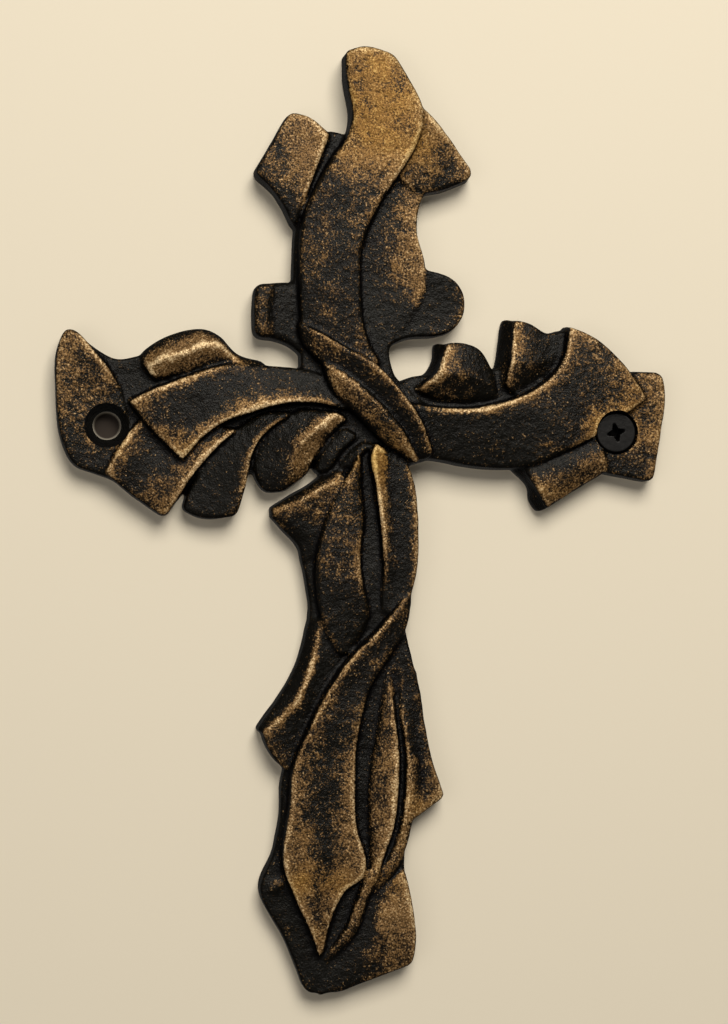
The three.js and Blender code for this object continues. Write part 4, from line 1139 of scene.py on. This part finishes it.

# %% [markdown]
# ## Studio
# The wall is one pale sheet that sweeps forward into a floor. It is seen only from the front, so the
# flat back can be looked at too, and it neither shades nor mirrors in the iron. Behind the open hole in
# the left arm a dark disc is painted on the wall as the shade inside the hole. A large soft lamp high in
# front models the folds, a weak one fills from the left, and one behind the wall lights the back of the
# casting.

# %% Wall and floor
WALL_GAP = 0.4
FLOOR_DROP = 190
SWEEP = 50
WALL_WIDTH = 2800
WALL_TOP = 900
FLOOR_REACH = 1500
WALL_TONE = (0.68, 0.62, 0.51, 1)
HOLE_SHADE_TONE = (0.02, 0.012, 0.007, 1)
HOLE_SHADE_EDGE = (0.0035, 0.0025)

bend = np.linspace(0, math.pi / 2, 16)
sheet_y = np.concatenate([[WALL_GAP], WALL_GAP - SWEEP + SWEEP * np.cos(bend), [-FLOOR_REACH]])
sheet_z = np.concatenate([[WALL_TOP], -FLOOR_DROP + SWEEP - SWEEP * np.sin(bend), [-FLOOR_DROP]])
sheet = np.stack([np.stack([np.full(len(sheet_y), side), sheet_y, sheet_z], axis=-1)
                  for side in (-WALL_WIDTH / 2, WALL_WIDTH / 2)], axis=1)
backdrop = new_piece("backdrop", sheet.reshape(-1, 3) * MM, grid_faces(len(sheet_y), 2)[:, ::-1].tolist())
pale, node, front_side = new_material("pale wall")
# painted shade: a dark disc on the wall behind the left hole stands for the shade inside the hole
spot = node("ShaderNodeVectorMath", {
    0: node("ShaderNodeTexCoord").outputs["Object"],
    1: (LEFT_HOLE[0] * MM, WALL_GAP * MM, LEFT_HOLE[1] * MM)}, operation="DISTANCE").outputs["Value"]
hole_shade = between(node, spot, *HOLE_SHADE_EDGE)
fill(front_side, {"Base Color": mixed(node, hole_shade, WALL_TONE, HOLE_SHADE_TONE), "Roughness": 0.85})
seen_from = node("ShaderNodeNewGeometry").outputs["Backfacing"]
clear = node("ShaderNodeBsdfTransparent").outputs[0]
both = node("ShaderNodeMixShader", {0: seen_from, 1: front_side.outputs[0], 2: clear}).outputs[0]
fill(pale.node_tree.nodes["Material Output"], {"Surface": both})
backdrop.data.materials.append(pale)
backdrop.visible_diffuse = False
backdrop.visible_glossy = False
backdrop.visible_transmission = False
backdrop.visible_shadow = False
print("wall stands", WALL_GAP, "mm behind the casting")


# %% Lamps and world
def lamp(name, place, target, size, watts, tint):
    """A square area lamp at a place that looks at a target, in metres."""
    data = bpy.data.lights.new(name, "AREA")
    data.shape = "SQUARE"
    data.size = size
    data.energy = watts
    data.color = tint
    lit = placed(name, data)
    lit.location = place
    lit.rotation_euler = Vector(np.array(target) - np.array(place)).to_track_quat("-Z", "Y").to_euler()
    return lit


lamp("key lamp", (0.1, -0.75, 0.5), (0, 0, -0.02), 0.5, 10, (1, 0.95, 0.85))
behind = lamp("lamp behind the wall", (0.6, 1.5, -0.25), (0, 0, 0), 0.2, 12, (1, 0.97, 0.9))
behind.visible_glossy = False
behind.data.spread = math.radians(50)
lamp("fill lamp", (-0.5, -0.9, -0.1), (0, 0, -0.02), 0.7, 1.7, (1, 0.95, 0.88))
world = bpy.data.worlds.new("pale room")
world.use_nodes = True
node = node_maker(world.node_tree)
seen = node("ShaderNodeLightPath").outputs["Is Camera Ray"]
fill(world.node_tree.nodes["Background"], {
    "Color": (1, 0.95, 0.86, 1),
    "Strength": between(node, seen, 0, 1, 0.11, 0.8)})
bpy.context.scene.world = world
bpy.context.scene.view_settings.view_transform = "Standard"

# %% [markdown]
# ## Camera
# The camera stands half a metre off the wall, a little to the left, and leans slightly. Its yaw, its
# roll, its distance and the point it aims at were found by matching the ends of the arms.

# %% Camera at the chosen angle
YAW = math.radians(-6.5)
ROLL = math.radians(1.5)
DISTANCE = 516.85
AIM = np.array([0.937, 0, -19.217])
LENS = 85
FILM_WIDTH = 36

look = np.array([-math.sin(YAW), math.cos(YAW), 0])
level = np.array([math.cos(YAW), math.sin(YAW), 0])
upright = np.array([0, 0, 1])
eye = (AIM - look * DISTANCE) * MM
pose = np.eye(4)
pose[:3, 0] = math.cos(ROLL) * level + math.sin(ROLL) * upright
pose[:3, 1] = -math.sin(ROLL) * level + math.cos(ROLL) * upright
pose[:3, 2] = -look
pose[:3, 3] = eye
camera_data = bpy.data.cameras.new("camera")
camera_data.lens = LENS
camera_data.sensor_width = FILM_WIDTH
camera = placed("camera", camera_data)
camera.matrix_world = Matrix(pose.tolist())
bpy.context.scene.camera = camera
print("camera at", np.round(eye, 4))

# %% [markdown]
# ## Bring the scene up to date
# The view layer is updated, so every object stands where it was placed.

# %% Bring the scene up to date
bpy.context.view_layer.update()
